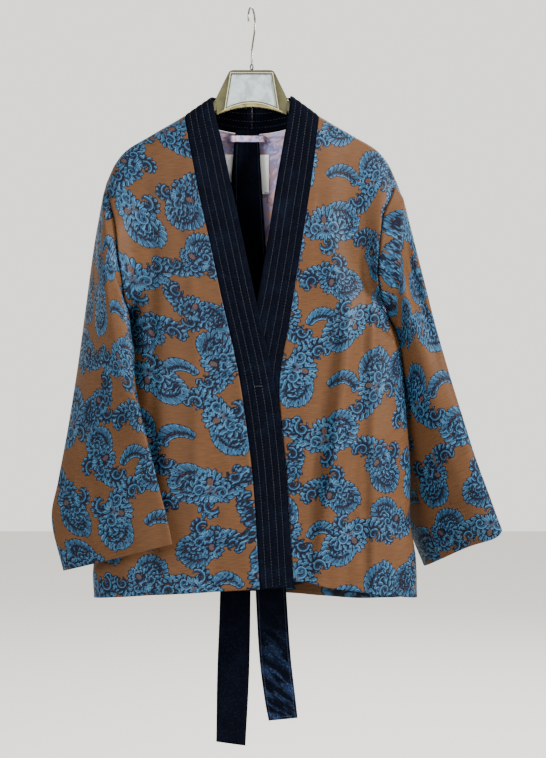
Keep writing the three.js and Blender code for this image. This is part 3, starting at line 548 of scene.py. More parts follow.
print("scroll repeat")
groups = ((135, 201, 1.9, 24), (124, 115, 4.6, 28), (33, 97, 5.3, 22), (91, 26, 0.4, 27), (5, 13, 2.6, 24),
          (200, 55, 3.4, 26), (69, 249, 5.9, 24), (169, 267, 1.1, 25), (61, 168, 4.0, 22))
for k, (x, y, turn, size) in enumerate(groups):
    bouquet(x, y, turn, size, 1 if k % 2 else -1, 0.15 + 0.05 * (k % 4))
spray(130, 50, -0.8, 50, 1.6, 15, 0.15)
spray(100, 262, -1.2, 38, 1.7, 14, 0.25)


def sampled(name, u, v, smooth):
    # Reads the repeat at cloth places in millimetres
    column = np.floor(u / scroll["wide"])
    x = (u - column * scroll["wide"]) / scroll["pitch"]
    y = np.mod(v + column * scroll["high"] / 2, scroll["high"]) / scroll["pitch"]
    raster = field[name]
    high, wide = raster.shape
    if not smooth:
        return raster[np.round(y).astype(int) % high, np.round(x).astype(int) % wide]
    x0, y0 = np.floor(x).astype(int), np.floor(y).astype(int)
    fx, fy = x - x0, y - y0
    x0, y0, x1, y1 = x0 % wide, y0 % high, (x0 + 1) % wide, (y0 + 1) % high
    upper = lerp(raster[y0, x0], raster[y0, x1], fx)
    return lerp(upper, lerp(raster[y1, x0], raster[y1, x1], fx), fy)


class Wire:
    # One socket of a shader, with arithmetic that adds the Math nodes
    def __init__(self, tree, socket=None):
        self.tree = tree
        self.socket = socket

    def node(self, kind, settings=None, plugs=None, out=0):
        made = self.tree.nodes.new("ShaderNode" + kind)
        for name, value in (settings or {}).items():
            setattr(made, name, value)
        for name, value in (plugs or {}).items():
            if isinstance(value, Wire):
                self.tree.links.new(value.socket, made.inputs[name])
            else:
                made.inputs[name].default_value = value
        return Wire(self.tree, made.outputs[out])

    def math(self, operation, a, b=0.0):
        return self.node("Math", {"operation": operation}, {0: a, 1: b})

    def __add__(self, other):
        return self.math("ADD", self, other)

    def __sub__(self, other):
        return self.math("SUBTRACT", self, other)

    def __mul__(self, other):
        return self.math("MULTIPLY", self, other)

    def __truediv__(self, other):
        return self.math("DIVIDE", self, other)

    def __rsub__(self, other):
        return self.math("SUBTRACT", other, self)

    def smooth(self, low, high):
        settings = {"interpolation_type": "SMOOTHSTEP"}
        return self.node("MapRange", settings, {0: self, 1: low, 2: high, 3: 0.0, 4: 1.0})

    def wave(self):
        return self.math("SINE", self * (2 * math.pi))

    def mix(self, a, b):
        return self.node("Mix", {"data_type": "RGBA"}, {0: self, 6: a, 7: b}, out=2)


def newMaterial(name):
    material = bpy.data.materials.new(name)
    material.use_nodes = True
    tree = material.node_tree
    shader = tree.nodes["Principled BSDF"]
    return material, Wire(tree), shader


def finishMaterial(wire, shader, constants, links):
    for name, value in constants.items():
        shader.inputs[name].default_value = value
    for name, value in links.items():
        wire.tree.links.new(value.socket, shader.inputs[name])


tones = {
    "ground": (0.041, 0.0178, 0.0062, 1), "groundLight": (0.062, 0.0275, 0.0105, 1),
    "navy": (0.0010, 0.0018, 0.007, 1), "blue": (0.0095, 0.036, 0.072, 1),
    "blueLight": (0.024, 0.074, 0.130, 1),
    # velvetSheen is a painted sheen colour that the velvet mixes into its base colour
    "velvet": (0.0003, 0.0005, 0.0018, 1), "velvetSheen": (0.012, 0.024, 0.060, 1),
    "rose": (0.44, 0.27, 0.26, 1), "lilac": (0.26, 0.26, 0.48, 1), "inkLine": (0.025, 0.035, 0.10, 1),
}
weave = {"rib": 0.0013, "net": 0.0034}


def brocadeMaterial(name, reverse):
    material, wire, shader = newMaterial(name)

    def attribute(key):
        return wire.node("Attribute", {"attribute_name": key}, out=2)
    place = wire.node("UVMap", {"uv_map": "cloth"})
    across = wire.node("SeparateXYZ", plugs={0: place}, out=0)
    down = wire.node("SeparateXYZ", plugs={0: place}, out=1)
    leaf, line, tone, net = [attribute(key) for key in ("leaf", "line", "tone", "net")]
    fill = leaf.smooth(0.0, 0.5)
    shape = leaf.smooth(-1.2, -0.6)
    vein = line.wave().smooth(0.3, 0.85)
    lattice = wire.math("MAXIMUM", ((across + down) / weave["net"]).wave(),
                        ((across - down) / weave["net"]).wave())
    netting = lattice.smooth(0.1, 0.7) * net
    rib = (down / weave["rib"]).wave()
    cloud = wire.node("TexNoise", plugs={"Vector": place, "Scale": 26.0, "Detail": 3.0})
    stretched = wire.node("Mapping", plugs={"Vector": place, "Scale": (60, 900, 1)})
    slub = wire.node("TexNoise", plugs={"Vector": stretched, "Scale": 1.0, "Detail": 2.0})
    if reverse:
        fleck = wire.node("TexNoise", plugs={"Vector": place, "Scale": 95.0, "Detail": 3.0})
        base = (fleck * 0.7 + cloud * 0.3).smooth(0.4, 0.56).mix(tones["rose"], tones["lilac"])
        thread = tone.smooth(0.0, 0.9).mix(tones["lilac"], tones["rose"])
        colour = (vein * 0.35).mix(thread, tones["inkLine"])
        colour = fill.mix((shape * 0.5).mix(base, tones["inkLine"]), colour)
        height = fill * 0.00015 + rib * 0.00004
        rough = 0.75 - fill * 0.1
    else:
        ground = (cloud * 0.3 + slub * 0.7).smooth(0.3, 0.7).mix(tones["ground"], tones["groundLight"])
        ground = (rib * 0.09 + 0.09).mix(ground, tones["navy"])
        shade = tone + (slub - 0.5) * 0.7 + (cloud - 0.5) * 0.5
        thread = shade.smooth(-0.25, 0.35).mix(tones["navy"], tones["blue"])
        thread = shade.smooth(0.25, 1.0).mix(thread, tones["blueLight"])
        thread = (vein * 0.75).mix(thread, tones["navy"])
        thread = (netting * 0.8).mix(thread, tones["groundLight"])
        colour = fill.mix(shape.mix(ground, tones["navy"]), thread)
        height = fill * 0.00022 - vein * fill * 0.00012 + rib * 0.00005
        rough = 0.56 - fill * 0.14 + (slub - 0.5) * 0.12
    bump = wire.node("Bump", plugs={"Strength": 0.55, "Distance": 1.0, "Height": height})
    finishMaterial(wire, shader, {"Specular IOR Level": 0.07},
                   {"Base Color": colour, "Roughness": rough, "Normal": bump})
    return material


def velvetMaterial(name, crushed):
    # Velvet with a blue sheen painted into its base colour: faint painted sheen in patches and flecks
    # everywhere, and painted sheen streaks where the piece's own attribute marks it crushed
    material, wire, shader = newMaterial(name)
    place = wire.node("TexCoord", out=3)
    pile = wire.node("TexNoise", plugs={"Vector": place, "Scale": 1100.0, "Detail": 2.0})
    napSheen = wire.node("TexNoise", plugs={"Vector": place, "Scale": 30.0, "Detail": 4.0, "Distortion": 0.8})
    fleck = wire.node("TexNoise", plugs={"Vector": place, "Scale": 420.0, "Detail": 3.0}).smooth(0.5, 0.7)
    # painted sheen: patches and flecks of the blue sheen colour mixed into the navy base colour
    paintedSheen = napSheen.smooth(0.45, 0.75) * 0.04 + fleck * 0.07
    height = pile * 0.0003
    if crushed:
        crush = wire.node("Attribute", {"attribute_name": "crush"}, out=2)
        streaks = wire.node("Mapping", {"vector_type": "TEXTURE"},
                            {"Vector": place, "Rotation": (0, 0.7, 0), "Scale": (0.030, 1, 0.008)})
        streak = wire.node("TexNoise",
                           plugs={"Vector": streaks, "Scale": 1.0, "Detail": 3.0, "Distortion": 0.4})
        # where the attribute marks the velvet crushed, painted sheen streaks; the same streaks also raise
        # real relief below
        paintedSheen = paintedSheen + crush * streak.smooth(0.45, 0.62) * (fleck * 0.8 + 0.25)
        height = height + crush * streak * 0.0012
    # the base colour runs from the velvet's own navy to the painted sheen colour
    colour = wire.math("MINIMUM", paintedSheen, 1.0).mix(tones["velvet"], tones["velvetSheen"])
    bump = wire.node("Bump", plugs={"Strength": 0.5, "Distance": 1.0, "Height": height})
    finishMaterial(wire, shader, {"Specular IOR Level": 0.03, "Sheen Weight": 0.01, "Sheen Roughness": 0.3,
                                  "Sheen Tint": (0.12, 0.25, 0.55, 1)},
                   {"Base Color": colour, "Roughness": 0.95 - paintedSheen * 0.2, "Normal": bump})
    return material


def plainCloth(name, light, dark, scale, rough):
    material, wire, shader = newMaterial(name)
    place = wire.node("TexCoord", out=3)
    cloud = wire.node("TexNoise", plugs={"Vector": place, "Scale": 40.0, "Detail": 3.0})
    x = wire.node("SeparateXYZ", plugs={0: place}, out=0)
    z = wire.node("SeparateXYZ", plugs={0: place}, out=2)
    threads = (x / scale).wave() * (z / scale).wave()
    colour = (cloud.smooth(0.3, 0.7) * 0.6 + threads * 0.1 + 0.1).mix(light, dark)
    bump = wire.node("Bump", plugs={"Strength": 0.4, "Distance": 1.0, "Height": threads * 0.0001})
    finishMaterial(wire, shader, {"Specular IOR Level": 0.25},
                   {"Base Color": colour, "Roughness": rough - cloud * 0.1, "Normal": bump})
    return material


def metalMaterial(name, colour, rough):
    material, wire, shader = newMaterial(name)
    place = wire.node("TexCoord", out=3)
    wear = wire.node("TexNoise", plugs={"Vector": place, "Scale": 320.0, "Detail": 3.0})
    dark = tuple(0.6 * c for c in colour[:3]) + (1,)
    finishMaterial(wire, shader, {"Metallic": 1.0},
                   {"Base Color": wear.smooth(0.4, 0.8).mix(colour, dark), "Roughness": wear * 0.2 + rough})
    return material


# The plate's window, as the hanger's solid has it, in metres
plateWindow = {"topHalf": 0.0285, "topZ": -0.094, "footHalf": 0.036, "footZ": -0.142, "archZ": -0.1332}


def acrylicMaterial(name):
    # A clear grey window in an olive frame with a bright golden foot
    material, wire, shader = newMaterial(name)
    place = wire.node("TexCoord", out=3)
    x = wire.node("SeparateXYZ", plugs={0: place}, out=0)
    z = wire.node("SeparateXYZ", plugs={0: place}, out=2)
    w = plateWindow
    slope = (w["footHalf"] - w["topHalf"]) / (w["topZ"] - w["footZ"])
    fromSide = (w["topZ"] - z) * slope + w["topHalf"] - wire.math("ABSOLUTE", x)
    bow = (x / w["footHalf"]) * (x / w["footHalf"])
    fromFoot = z - w["archZ"] + bow * (w["archZ"] - w["footZ"])
    pane = wire.math("MINIMUM", wire.math("MINIMUM", fromSide, fromFoot), w["topZ"] - z)
    window = pane.smooth(0.0, 0.0006)
    border = (pane + 0.0011).smooth(-0.0004, 0.0002) - pane.smooth(-0.0004, 0.0002)
    glint = (pane + 0.0021).smooth(-0.0004, 0.0002) - (pane + 0.0011).smooth(-0.0004, 0.0002)
    blot = wire.node("TexNoise", plugs={"Vector": place, "Scale": 70.0, "Detail": 3.0, "Distortion": 0.7})
    outward = (blot * 0.6 - fromSide * 30 - 0.1).smooth(0.0, 0.8)
    olive = outward.mix((0.010, 0.009, 0.003, 1), (0.050, 0.046, 0.014, 1))
    gold = (blot + fromFoot * 40).smooth(0.1, 0.6).mix((0.15, 0.13, 0.050, 1), (0.05, 0.045, 0.016, 1))
    frameColour = fromFoot.smooth(-0.0004, -0.0014).mix(olive, gold)
    rim = z.smooth(-0.0925, -0.0895)
    frameColour = rim.mix(frameColour, (0.035, 0.034, 0.022, 1))
    frameColour = glint.mix(frameColour, (0.30, 0.28, 0.15, 1))
    frameColour = border.mix(frameColour, (0.022, 0.022, 0.016, 1))
    clear = blot.smooth(0.35, 0.7).mix((0.25, 0.285, 0.29, 1), (0.16, 0.185, 0.19, 1))
    colour = window.mix(frameColour, clear)
    finishMaterial(wire, shader,
                   {"Transmission Weight": 0.05, "IOR": 1.45, "Coat Weight": 0.25, "Coat Roughness": 0.08},
                   {"Base Color": colour, "Roughness": blot * 0.15 + 0.08})
    return material


print("materials")
brocade = brocadeMaterial("brocade", False)
reverse = brocadeMaterial("brocadeReverse", True)
velvet = velvetMaterial("velvet", False)
beltVelvet = velvetMaterial("beltVelvet", True)
labelTape = plainCloth("labelTape", (0.96, 0.96, 0.96, 1), (0.92, 0.92, 0.92, 1), 0.0007, 0.85)
threadTones = {
    "threadPale": ((0.050, 0.047, 0.052, 1), (0.024, 0.024, 0.032, 1)),
    "threadInk": ((0.040, 0.052, 0.085, 1), (0.020, 0.026, 0.05, 1)),
    "threadBrown": ((0.060, 0.024, 0.010, 1), (0.03, 0.014, 0.007, 1)),
    "threadBlack": ((0.01, 0.01, 0.012, 1), (0.02, 0.02, 0.022, 1)),
}
threadPale, threadInk, threadBrown, threadBlack = [
    plainCloth(name, light, dark, 0.0006, 0.7) for name, (light, dark) in threadTones.items()]
chrome = metalMaterial("chromeWire", (0.13, 0.125, 0.105, 1), 0.14)
darkMetal = metalMaterial("darkWire", (0.03, 0.03, 0.028, 1), 0.3)
acrylic = acrylicMaterial("acrylic")


def flatPlaces(grid, closed, along):
    # Cloth coordinates of a grid, in millimetres: across and down, by the lengths on the cloth
    stepDown = np.linalg.norm(np.diff(grid, axis=0), axis=2)
    v = np.concatenate([np.zeros((1, grid.shape[1])), np.cumsum(stepDown, axis=0)])
    if closed:
        axis = np.array(along, float)
        v = v + (grid[0] - grid[0, 0]) @ (axis / np.linalg.norm(axis))
        ring = np.concatenate([grid, grid[:, :1]], axis=1)
        stepAcross = np.linalg.norm(np.diff(ring, axis=1), axis=2)
        u = np.concatenate([np.zeros((len(grid), 1)), np.cumsum(stepAcross, axis=1)], axis=1)
        half = grid.shape[1] // 2
        behind = u[:, -1:] - u
        u = np.where(np.arange(u.shape[1])[None, :] <= half, u, -behind)
        return u, np.concatenate([v, v[:, :1]], axis=1)
    stepAcross = np.linalg.norm(np.diff(grid, axis=1), axis=2)
    u = np.concatenate([np.zeros((len(grid), 1)), np.cumsum(stepAcross, axis=1)], axis=1)
    middle = np.argmin(np.abs(grid[len(grid) // 2, :, 0]))
    u = u - u[:, middle:middle + 1] + grid[:, middle:middle + 1, 0]
    return u, v - grid[0, :, 2][None, :]


def wallFaces(count, wide, closed):
    # Corners of each face as row, column and side: fine on the outer side, wider cells on the inner
    last = wide if closed else wide - 1
    faces = [[(r, c, 0), (r, c + 1, 0), (r + 1, c + 1, 0), (r + 1, c, 0)]
             for r in range(count - 1) for c in range(last)]
    ends = [[(count - 1, k) for k in range(last + 1)], [(0, k) for k in range(last, -1, -1)]]
    if not closed:
        ends += [[(k, 0) for k in range(count)], [(k, last) for k in range(count - 1, -1, -1)]]
    for end in ends:
        faces += [[(*a, 0), (*b, 0), (*b, 1), (*a, 1)] for a, b in zip(end, end[1:])]
    rowStops = [*range(0, count - 1, rows["coarse"]), count - 1]
    columnStops = [*range(0, last, rows["coarse"]), last]
    for r0, r1 in zip(rowStops, rowStops[1:]):
        for c0, c1 in zip(columnStops, columnStops[1:]):
            cell = [(r0, c, 1) for c in (range(c0, c1) if r0 == 0 else [c0])]
            cell += [(r, c1, 1) for r in (range(r0, r1) if c1 == last and not closed else [r0])]
            cell += [(r1, c, 1) for c in (range(c1, c0, -1) if r1 == count - 1 else [c1])]
            cell += [(r, c0, 1) for r in (range(r1, r0, -1) if c0 == 0 and not closed else [r1])]
            faces.append(cell[::-1])
    return faces


def clothPiece(name, grid, thickness, outSign, materials, closed=False, offset=(0, 0), along=(0, 0, -1),
               pattern=True, extra=None):
    # A thin closed wall; inner faces above the hem's facing take the second finish
    count, wide = grid.shape[:2]
    inner = grid - gridNormals(grid, closed) * outSign * thickness
    vertices = np.concatenate([grid.reshape(-1, 3), inner.reshape(-1, 3)]) * mm
    u, v = flatPlaces(grid, closed, along)
    u, v = u + offset[0], v + offset[1]
    faces = wallFaces(count, wide, closed)
    if outSign < 0:
        faces = [face[::-1] for face in faces]
    sizes = np.array([len(face) for face in faces])
    starts = np.cumsum(sizes) - sizes
    corners = np.array([corner for face in faces for corner in face])
    row, column, side = corners.T
    used, index = np.unique(side * count * wide + row * wide + column % wide, return_inverse=True)
    mesh = bpy.data.meshes.new(name)
    mesh.vertices.add(len(used))
    mesh.vertices.foreach_set("co", vertices[used].ravel())
    mesh.loops.add(len(index))
    mesh.loops.foreach_set("vertex_index", index.astype(np.int32))
    mesh.polygons.add(len(sizes))
    mesh.polygons.foreach_set("loop_start", starts.astype(np.int32))
    mesh.update(calc_edges=True)
    lined = np.minimum.reduceat(side, starts) * (np.maximum.reduceat(row, starts) < count - facing["rows"])
    mesh.polygons.foreach_set("material_index", (lined * (len(materials) - 1)).astype(np.int32))
    mesh.polygons.foreach_set("use_smooth", np.ones(len(sizes), bool))
    layer = mesh.uv_layers.new(name="cloth")
    places = np.stack([u[row, column], v[row, column]], axis=1) * mm
    layer.data.foreach_set("uv", places.ravel().astype(np.float32))
    values = dict(extra or {})
    if pattern:
        for key in field:
            values[key] = sampled(key, u[:, :wide], v[:, :wide], key == "leaf")
    for key, value in values.items():
        data = mesh.attributes.new(key, "FLOAT", "POINT")
        data.data.foreach_set("value", np.tile(value.ravel(), 2)[used].astype(np.float32))
    for material in materials:
        mesh.materials.append(material)
    mesh.validate()
    piece = bpy.data.objects.new(name, mesh)
    bpy.context.scene.collection.objects.link(piece)
    return piece


facing = {"rows": 30}


def clothArea(grid, closed=False):
    ring = np.concatenate([grid, grid[:, :1]], axis=1) if closed else grid
    a = ring[1:, 1:] - ring[:-1, :-1]
    b = ring[1:, :-1] - ring[:-1, 1:]
    return float(np.linalg.norm(np.cross(a, b), axis=2).sum() / 2) * mm * mm


def place(piece, nodes, slot, flat, held, restsOn, area):
    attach(piece, "root")
    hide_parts(*nodes)


print("brocade pieces")
bodyCloth = {
    "thickness": cut["cloth"], "rightOffset": (62, 24), "leftOffset": (18, 96), "backOffset": (88, 60),
    "rightSleeveOffset": (40, 150), "leftSleeveOffset": (96, 40),
    "frontFlat": (0.262, 0.715), "backFlat": (0.56, 0.74), "sleeveFlat": (0.44, 0.58),
}


def drawnBack(grid, closed=False):
    # Every seam edge stops short of its neighbour
    grid = grid.copy()
    if not closed:
        grid[:, 0] += unitStep(grid[:, 0], grid[:, 1])
        grid[:, -1] += unitStep(grid[:, -1], grid[:, -2])
    grid[0] += unitStep(grid[0], grid[1])
    return grid


def unitStep(edge, inside):
    step = inside - edge
    return step / np.maximum(np.linalg.norm(step, axis=1, keepdims=True), 1e-6) * cut["gap"]


wallFinish = [brocade, reverse]
thick = bodyCloth["thickness"]
frontRight = clothPiece("rightFrontCloth", drawnBack(rightFront), thick, 1, wallFinish,
                        offset=bodyCloth["rightOffset"])
frontLeft = clothPiece("leftFrontCloth", drawnBack(leftFront), thick, -1, wallFinish,
                       offset=bodyCloth["leftOffset"])
backCloth = clothPiece("backCloth", drawnBack(backBody), thick, 1, wallFinish, offset=bodyCloth["backOffset"])
rightSleeveCloth = clothPiece("rightSleeveCloth", drawnBack(rightTube, True), thick, -1, wallFinish,
                              closed=True, offset=bodyCloth["rightSleeveOffset"], along=(0.06, -0.12, -1))
leftSleeveCloth = clothPiece("leftSleeveCloth", drawnBack(leftTube, True), thick, 1, wallFinish,
                             closed=True, offset=bodyCloth["leftSleeveOffset"], along=(0.22, 0.08, -1))
place(frontRight, ["right_front"], "brocade", bodyCloth["frontFlat"], "hung", ["hanger"],
      clothArea(rightFront))
place(frontLeft, ["left_front"], "brocade", bodyCloth["frontFlat"], "hung", ["hanger"],
      clothArea(leftFront))
place(backCloth, ["back"], "brocade", bodyCloth["backFlat"], "hung", ["hanger"], clothArea(backBody))
for tube, side, form in ((rightSleeveCloth, "right", rightTube), (leftSleeveCloth, "left", leftTube)):
    halves = [side + "_sleeve_front", side + "_sleeve_back"]
    place(tube, halves, "brocade", bodyCloth["sleeveFlat"], "hung", [], clothArea(form, True))

print("velvet band")
bandFlat = (0.054, 0.99)
rightBandGrid = bandGrid("right", rightFront, backBody)
leftBandGrid = bandGrid("left", leftFront, backBody)
bandRight = clothPiece("rightBand", drawnBack(rightBandGrid), band["thickness"], -1, [velvet], pattern=False)
bandLeft = clothPiece("leftBand", drawnBack(leftBandGrid), band["thickness"], 1, [velvet], pattern=False)
place(bandRight, ["collar_right"], "velvet", bandFlat, "stretched", ["right_front", "back"],
      clothArea(rightBandGrid))
place(bandLeft, ["collar_left"], "velvet", bandFlat, "stretched", ["left_front", "back"],
      clothArea(leftBandGrid))


def stitchRow(path, normals, length, gap, thickness, lift):
    # One bead of thread for each stitch along a path, a little domed
    steps = np.linalg.norm(np.diff(path, axis=0), axis=1)
    run = np.concatenate([[0], np.cumsum(steps)])
    starts = np.arange(gap, run[-1] - length, length + gap)

    def at(values, place):
        return np.stack([np.interp(place, run, values[:, k]) for k in range(3)], axis=1)
    first, last = at(path, starts), at(path, starts + length)
    up = at(normals, starts)
    side = np.cross(last - first, up)
    side = side / np.maximum(np.linalg.norm(side, axis=1, keepdims=True), 1e-9) * thickness
    middle = (first + last) / 2
    ring = [first, middle + side, last, middle - side]
    corners = [p + up * lift * 0.2 for p in ring]
    corners += [middle + up * (lift + thickness), middle - up * thickness]
    vertices = np.stack(corners, axis=1)
    base = np.array([(0, 1, 4), (1, 2, 4), (2, 3, 4), (3, 0, 4), (1, 0, 5), (2, 1, 5), (3, 2, 5), (0, 3, 5)])
    faces = (np.arange(len(starts))[:, None, None] * 6 + base[None]).reshape(-1, 3)
    return vertices.reshape(-1, 3), faces


def stitchPiece(name, runs, material):
    vertices, faces, count = [], [], 0
    for points3, triangles in runs:
        vertices.append(points3)
        faces.append(triangles + count)
        count += len(points3)
    mesh = bpy.data.meshes.new(name)
    mesh.from_pydata((np.concatenate(vertices) * mm).tolist(), [], np.concatenate(faces).tolist())
    mesh.materials.append(material)
    piece = bpy.data.objects.new(name, mesh)
    bpy.context.scene.collection.objects.link(piece)
    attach(piece, "root")
    return piece


print("sewing")
sewing = {"hemUp": 13, "cuffUp": 17, "tack": {"fromX": 3.5, "toX": 17.5, "z": -538.5, "points": 12}}
# Each kind of stitch: its length, the gap to the next, half the thread's width, and how far it stands up
stitch = {"band": (3.0, 1.2, 0.26, 0.12), "centre": (1.6, 0.5, 0.4, 0.2), "tack": (2.2, 0.3, 0.5, 0.3),
          "hem": (2.6, 1.2, 0.26, 0.1), "label": (2.4, 0.4, 0.7, 0.4), "belt": (2.6, 0.7, 0.3, 0.15)}


def bandRuns(grid, outSign):
    normals = gridNormals(grid, False) * outSign
    columns = [round(t * (grid.shape[1] - 1)) for t in band["lines"]]
    return [stitchRow(grid[:, k], normals[:, k], *stitch["band"]) for k in columns]


def neckRuns(grid, outSign):
    # The same rows seen on the inner side of the neck, with the seam at the centre back
    span = rows["back"] // 2 - round(rows["back"] // 2 * cut["shoulderShare"])
    normals = gridNormals(grid, False) * outSign
    inner = grid - normals * band["thickness"]
    columns = [round(t * (grid.shape[1] - 1)) for t in band["lines"]]
    runs = [stitchRow(inner[:span, k], -normals[:span, k], *stitch["band"]) for k in columns]
    return runs + [stitchRow(inner[0], -normals[0], *stitch["centre"])]


def tackRun(grid):
    # A short bar of stitches across the band where the fronts are held
    tack = sewing["tack"]
    x = np.linspace(tack["fromX"], tack["toX"], tack["points"])
    flat = grid.reshape(-1, 3)
    y = [flat[np.argmin(np.hypot(flat[:, 0] - value, flat[:, 2] - tack["z"])), 1] for value in x]
    outward = np.tile([0, -1.0, 0], (tack["points"], 1))
    return stitchRow(points(x, np.array(y), tack["z"]), outward, *stitch["tack"])


stripes = bandRuns(rightBandGrid, -1) + bandRuns(leftBandGrid, 1)
stripes += neckRuns(rightBandGrid, -1) + neckRuns(leftBandGrid, 1) + [tackRun(rightBandGrid)]
stitchPiece("bandStitches", stripes, threadPale)


def hemRun(grid, outSign, up, closed=False):
    normals = gridNormals(grid, closed) * outSign
    steps = np.linalg.norm(np.diff(grid[::-1], axis=0), axis=2)
    heights = np.cumsum(steps, axis=0)
    row = len(grid) - 2 - np.argmax(heights >= up, axis=0)
    columns = np.arange(grid.shape[1])
    return stitchRow(grid[row, columns], normals[row, columns], *stitch["hem"])


hemRuns = [
    hemRun(rightFront, 1, sewing["hemUp"]), hemRun(leftFront, -1, sewing["hemUp"]),
    hemRun(backBody, 1, sewing["hemUp"]), hemRun(rightTube, -1, sewing["cuffUp"], True),
    hemRun(leftTube, 1, sewing["cuffUp"], True),
]
stitchPiece("hemStitches", hemRuns, threadBrown)

print("inside of the back")
inside = {"half": 77.7, "fromPart": 0.02, "toPart": 0.405, "offset": 1.9, "thickness": 0.6}
liningParts = np.linspace(inside["fromPart"], inside["toPart"], 110)[:, None]
liningAcross = np.linspace(-inside["half"], inside["half"], 78)[None, :]
liningBase = backPoints(liningParts, liningAcross)
liningGrid = liningBase - gridNormals(liningBase, False) * inside["offset"]
lining = clothPiece("backLiningCloth", liningGrid, inside["thickness"], 1, [reverse], offset=(30, 0))
place(lining, ["back_lining"], "brocade_reverse", (0.20, 0.36), "stretched", ["back"], clothArea(liningGrid))


def insideBack(x, z):
    return bodyDepth("back", x, z, cut["tipHalf"], 0)


label = {"left": -39.4, "right": 24.6, "top": -203, "bottom": -259.5, "clear": 3.7, "thickness": 0.6}
labelX = np.linspace(label["left"], label["right"], 33)[None, :]
labelZ = np.linspace(label["top"], label["bottom"], 29)[:, None]
labelGrid = points(labelX, insideBack(labelX, labelZ) - label["clear"], labelZ)
labelPiece = clothPiece("bareLabel", labelGrid, label["thickness"], 1, [labelTape], pattern=False)
place(labelPiece, ["label"], "label_cloth", (0.064, 0.057), "stretched", ["back_lining"], None)
cornerZ = label["bottom"] + 2
cornerPath = points(np.linspace(label["right"] - 7, label["right"] - 1, 9), 0, cornerZ)
cornerPath[:, 1] = insideBack(cornerPath[:, 0], cornerZ) - label["clear"] - label["thickness"]
towardFront = np.tile([0, -1.0, 0], (9, 1))
labelRow = stitchRow(cornerPath, towardFront, *stitch["label"])
stitchPiece("labelStitch", [labelRow], threadBlack)

loop = {"left": -34.5, "right": 20.5, "top": -178, "bottom": -187, "frontY": 26.1, "seat": 4.15}
loopX = np.linspace(0, 1, 61)[None, :]
loopZ = np.linspace(loop["top"], loop["bottom"], 9)[:, None]
loopPlace = lerp(loop["left"], loop["right"], loopX)
loopSeat = insideBack(loopPlace, loopZ) - loop["seat"]
loopOut = np.minimum(1, 5 * np.sin(math.pi * loopX))
loopGrid = points(loopPlace, lerp(loopSeat, loop["frontY"], loopOut), loopZ)
loopPiece = clothPiece("hangingLoop", loopGrid, 0.8, 1, [reverse], offset=(12, 40))
place(loopPiece, ["hang_loop"], "brocade_reverse", (0.095, 0.0105), "stretched", ["back_lining"],
      clothArea(loopGrid))

print("belt")
belt = {"width": 42, "frontY": 26.4, "backY": 32.8, "foldX": -7, "foldZ": -169, "thickness": 2.4,
        "columns": 25, "edge": 0.42, "shortRows": 300, "longRows": 320}
shortEnd = {"z": [-1019, -985, -925, -836, -650, -450, -270, -174], "x": [45, 40, 33, 27.5, 18, 6, -5, -7],
            "slant": [0.1, 0.14, 0.1, 0.06, 0.06, 0.05, 0.03, 0],
            "wide": [1.0, 1.05, 1.07, 1.05, 1, 1, 0.98, 0.8]}
longEnd = {"z": [-174, -270, -450, -650, -836, -950, -1055], "x": [-7, -10, -17, -22, -24, -27, -30.5],
           "slant": [0, -0.02, -0.03, -0.03, -0.04, -0.08, -0.14], "wide": [0.8, 1, 1, 1, 1.02, 1.07, 0.98]}
# Creases across the crushed end: from one place to another, and height
creases = [(12, -902, 52, -926, 1.3), (14, -921, 55, -950, -1.2), (22, -930, 50, -981, 1.2),
           (30, -962, 58, -990, -1), (24, -874, 50, -868, 0.8), (18, -940, 40, -1004, 1.4),
           (34, -905, 60, -912, -1)]
across = np.linspace(-0.5, 0.5, belt["columns"])[None, :]


def beltRun(table, count, y):
    at = np.linspace(0, 1, count)[:, None]
    knots = np.linspace(0, 1, len(table["z"]))
    x, z, slant, wide = [through(knots, table[key])(at) for key in ("x", "z", "slant", "wide")]
    offset = across * belt["width"] * wide
    return points(x + offset, y, z + offset * slant)


def creaseHeight(x, z):
    total = np.zeros(x.shape)
    for x0, z0, x1, z1, height in creases:
        length = math.hypot(x1 - x0, z1 - z0)
        along = ((x - x0) * (x1 - x0) + (z - z0) * (z1 - z0)) / length
        away = ((x - x0) * (z1 - z0) - (z - z0) * (x1 - x0)) / length / 3
        ends = ease(along, -3, 6) * (1 - ease(along, length - 6, length + 3))
        total = total + height * np.exp(-away * away) * ends
    return total


over = np.linspace(0, math.pi, 12)[1:-1][:, None]
radius = (belt["backY"] - belt["frontY"]) / 2
fold = points(belt["foldX"] + across * belt["width"] * shortEnd["wide"][-1],
              belt["frontY"] + radius * (1 - np.cos(over)), belt["foldZ"] - 6 + 6 * np.sin(over))
front = beltRun(shortEnd, belt["shortRows"], belt["frontY"])
pleat = ease(front[..., 2], -300, -200) * (0.9 * np.cos(across * 21) - 0.9)
roll = -0.8 * (2 * np.abs(across)) ** 10
front[..., 1] -= creaseHeight(front[..., 0], front[..., 2]) + pleat + roll
back = beltRun(longEnd, belt["longRows"], belt["backY"])
back[..., 1] -= roll
beltGrid = np.concatenate([front, fold, back])
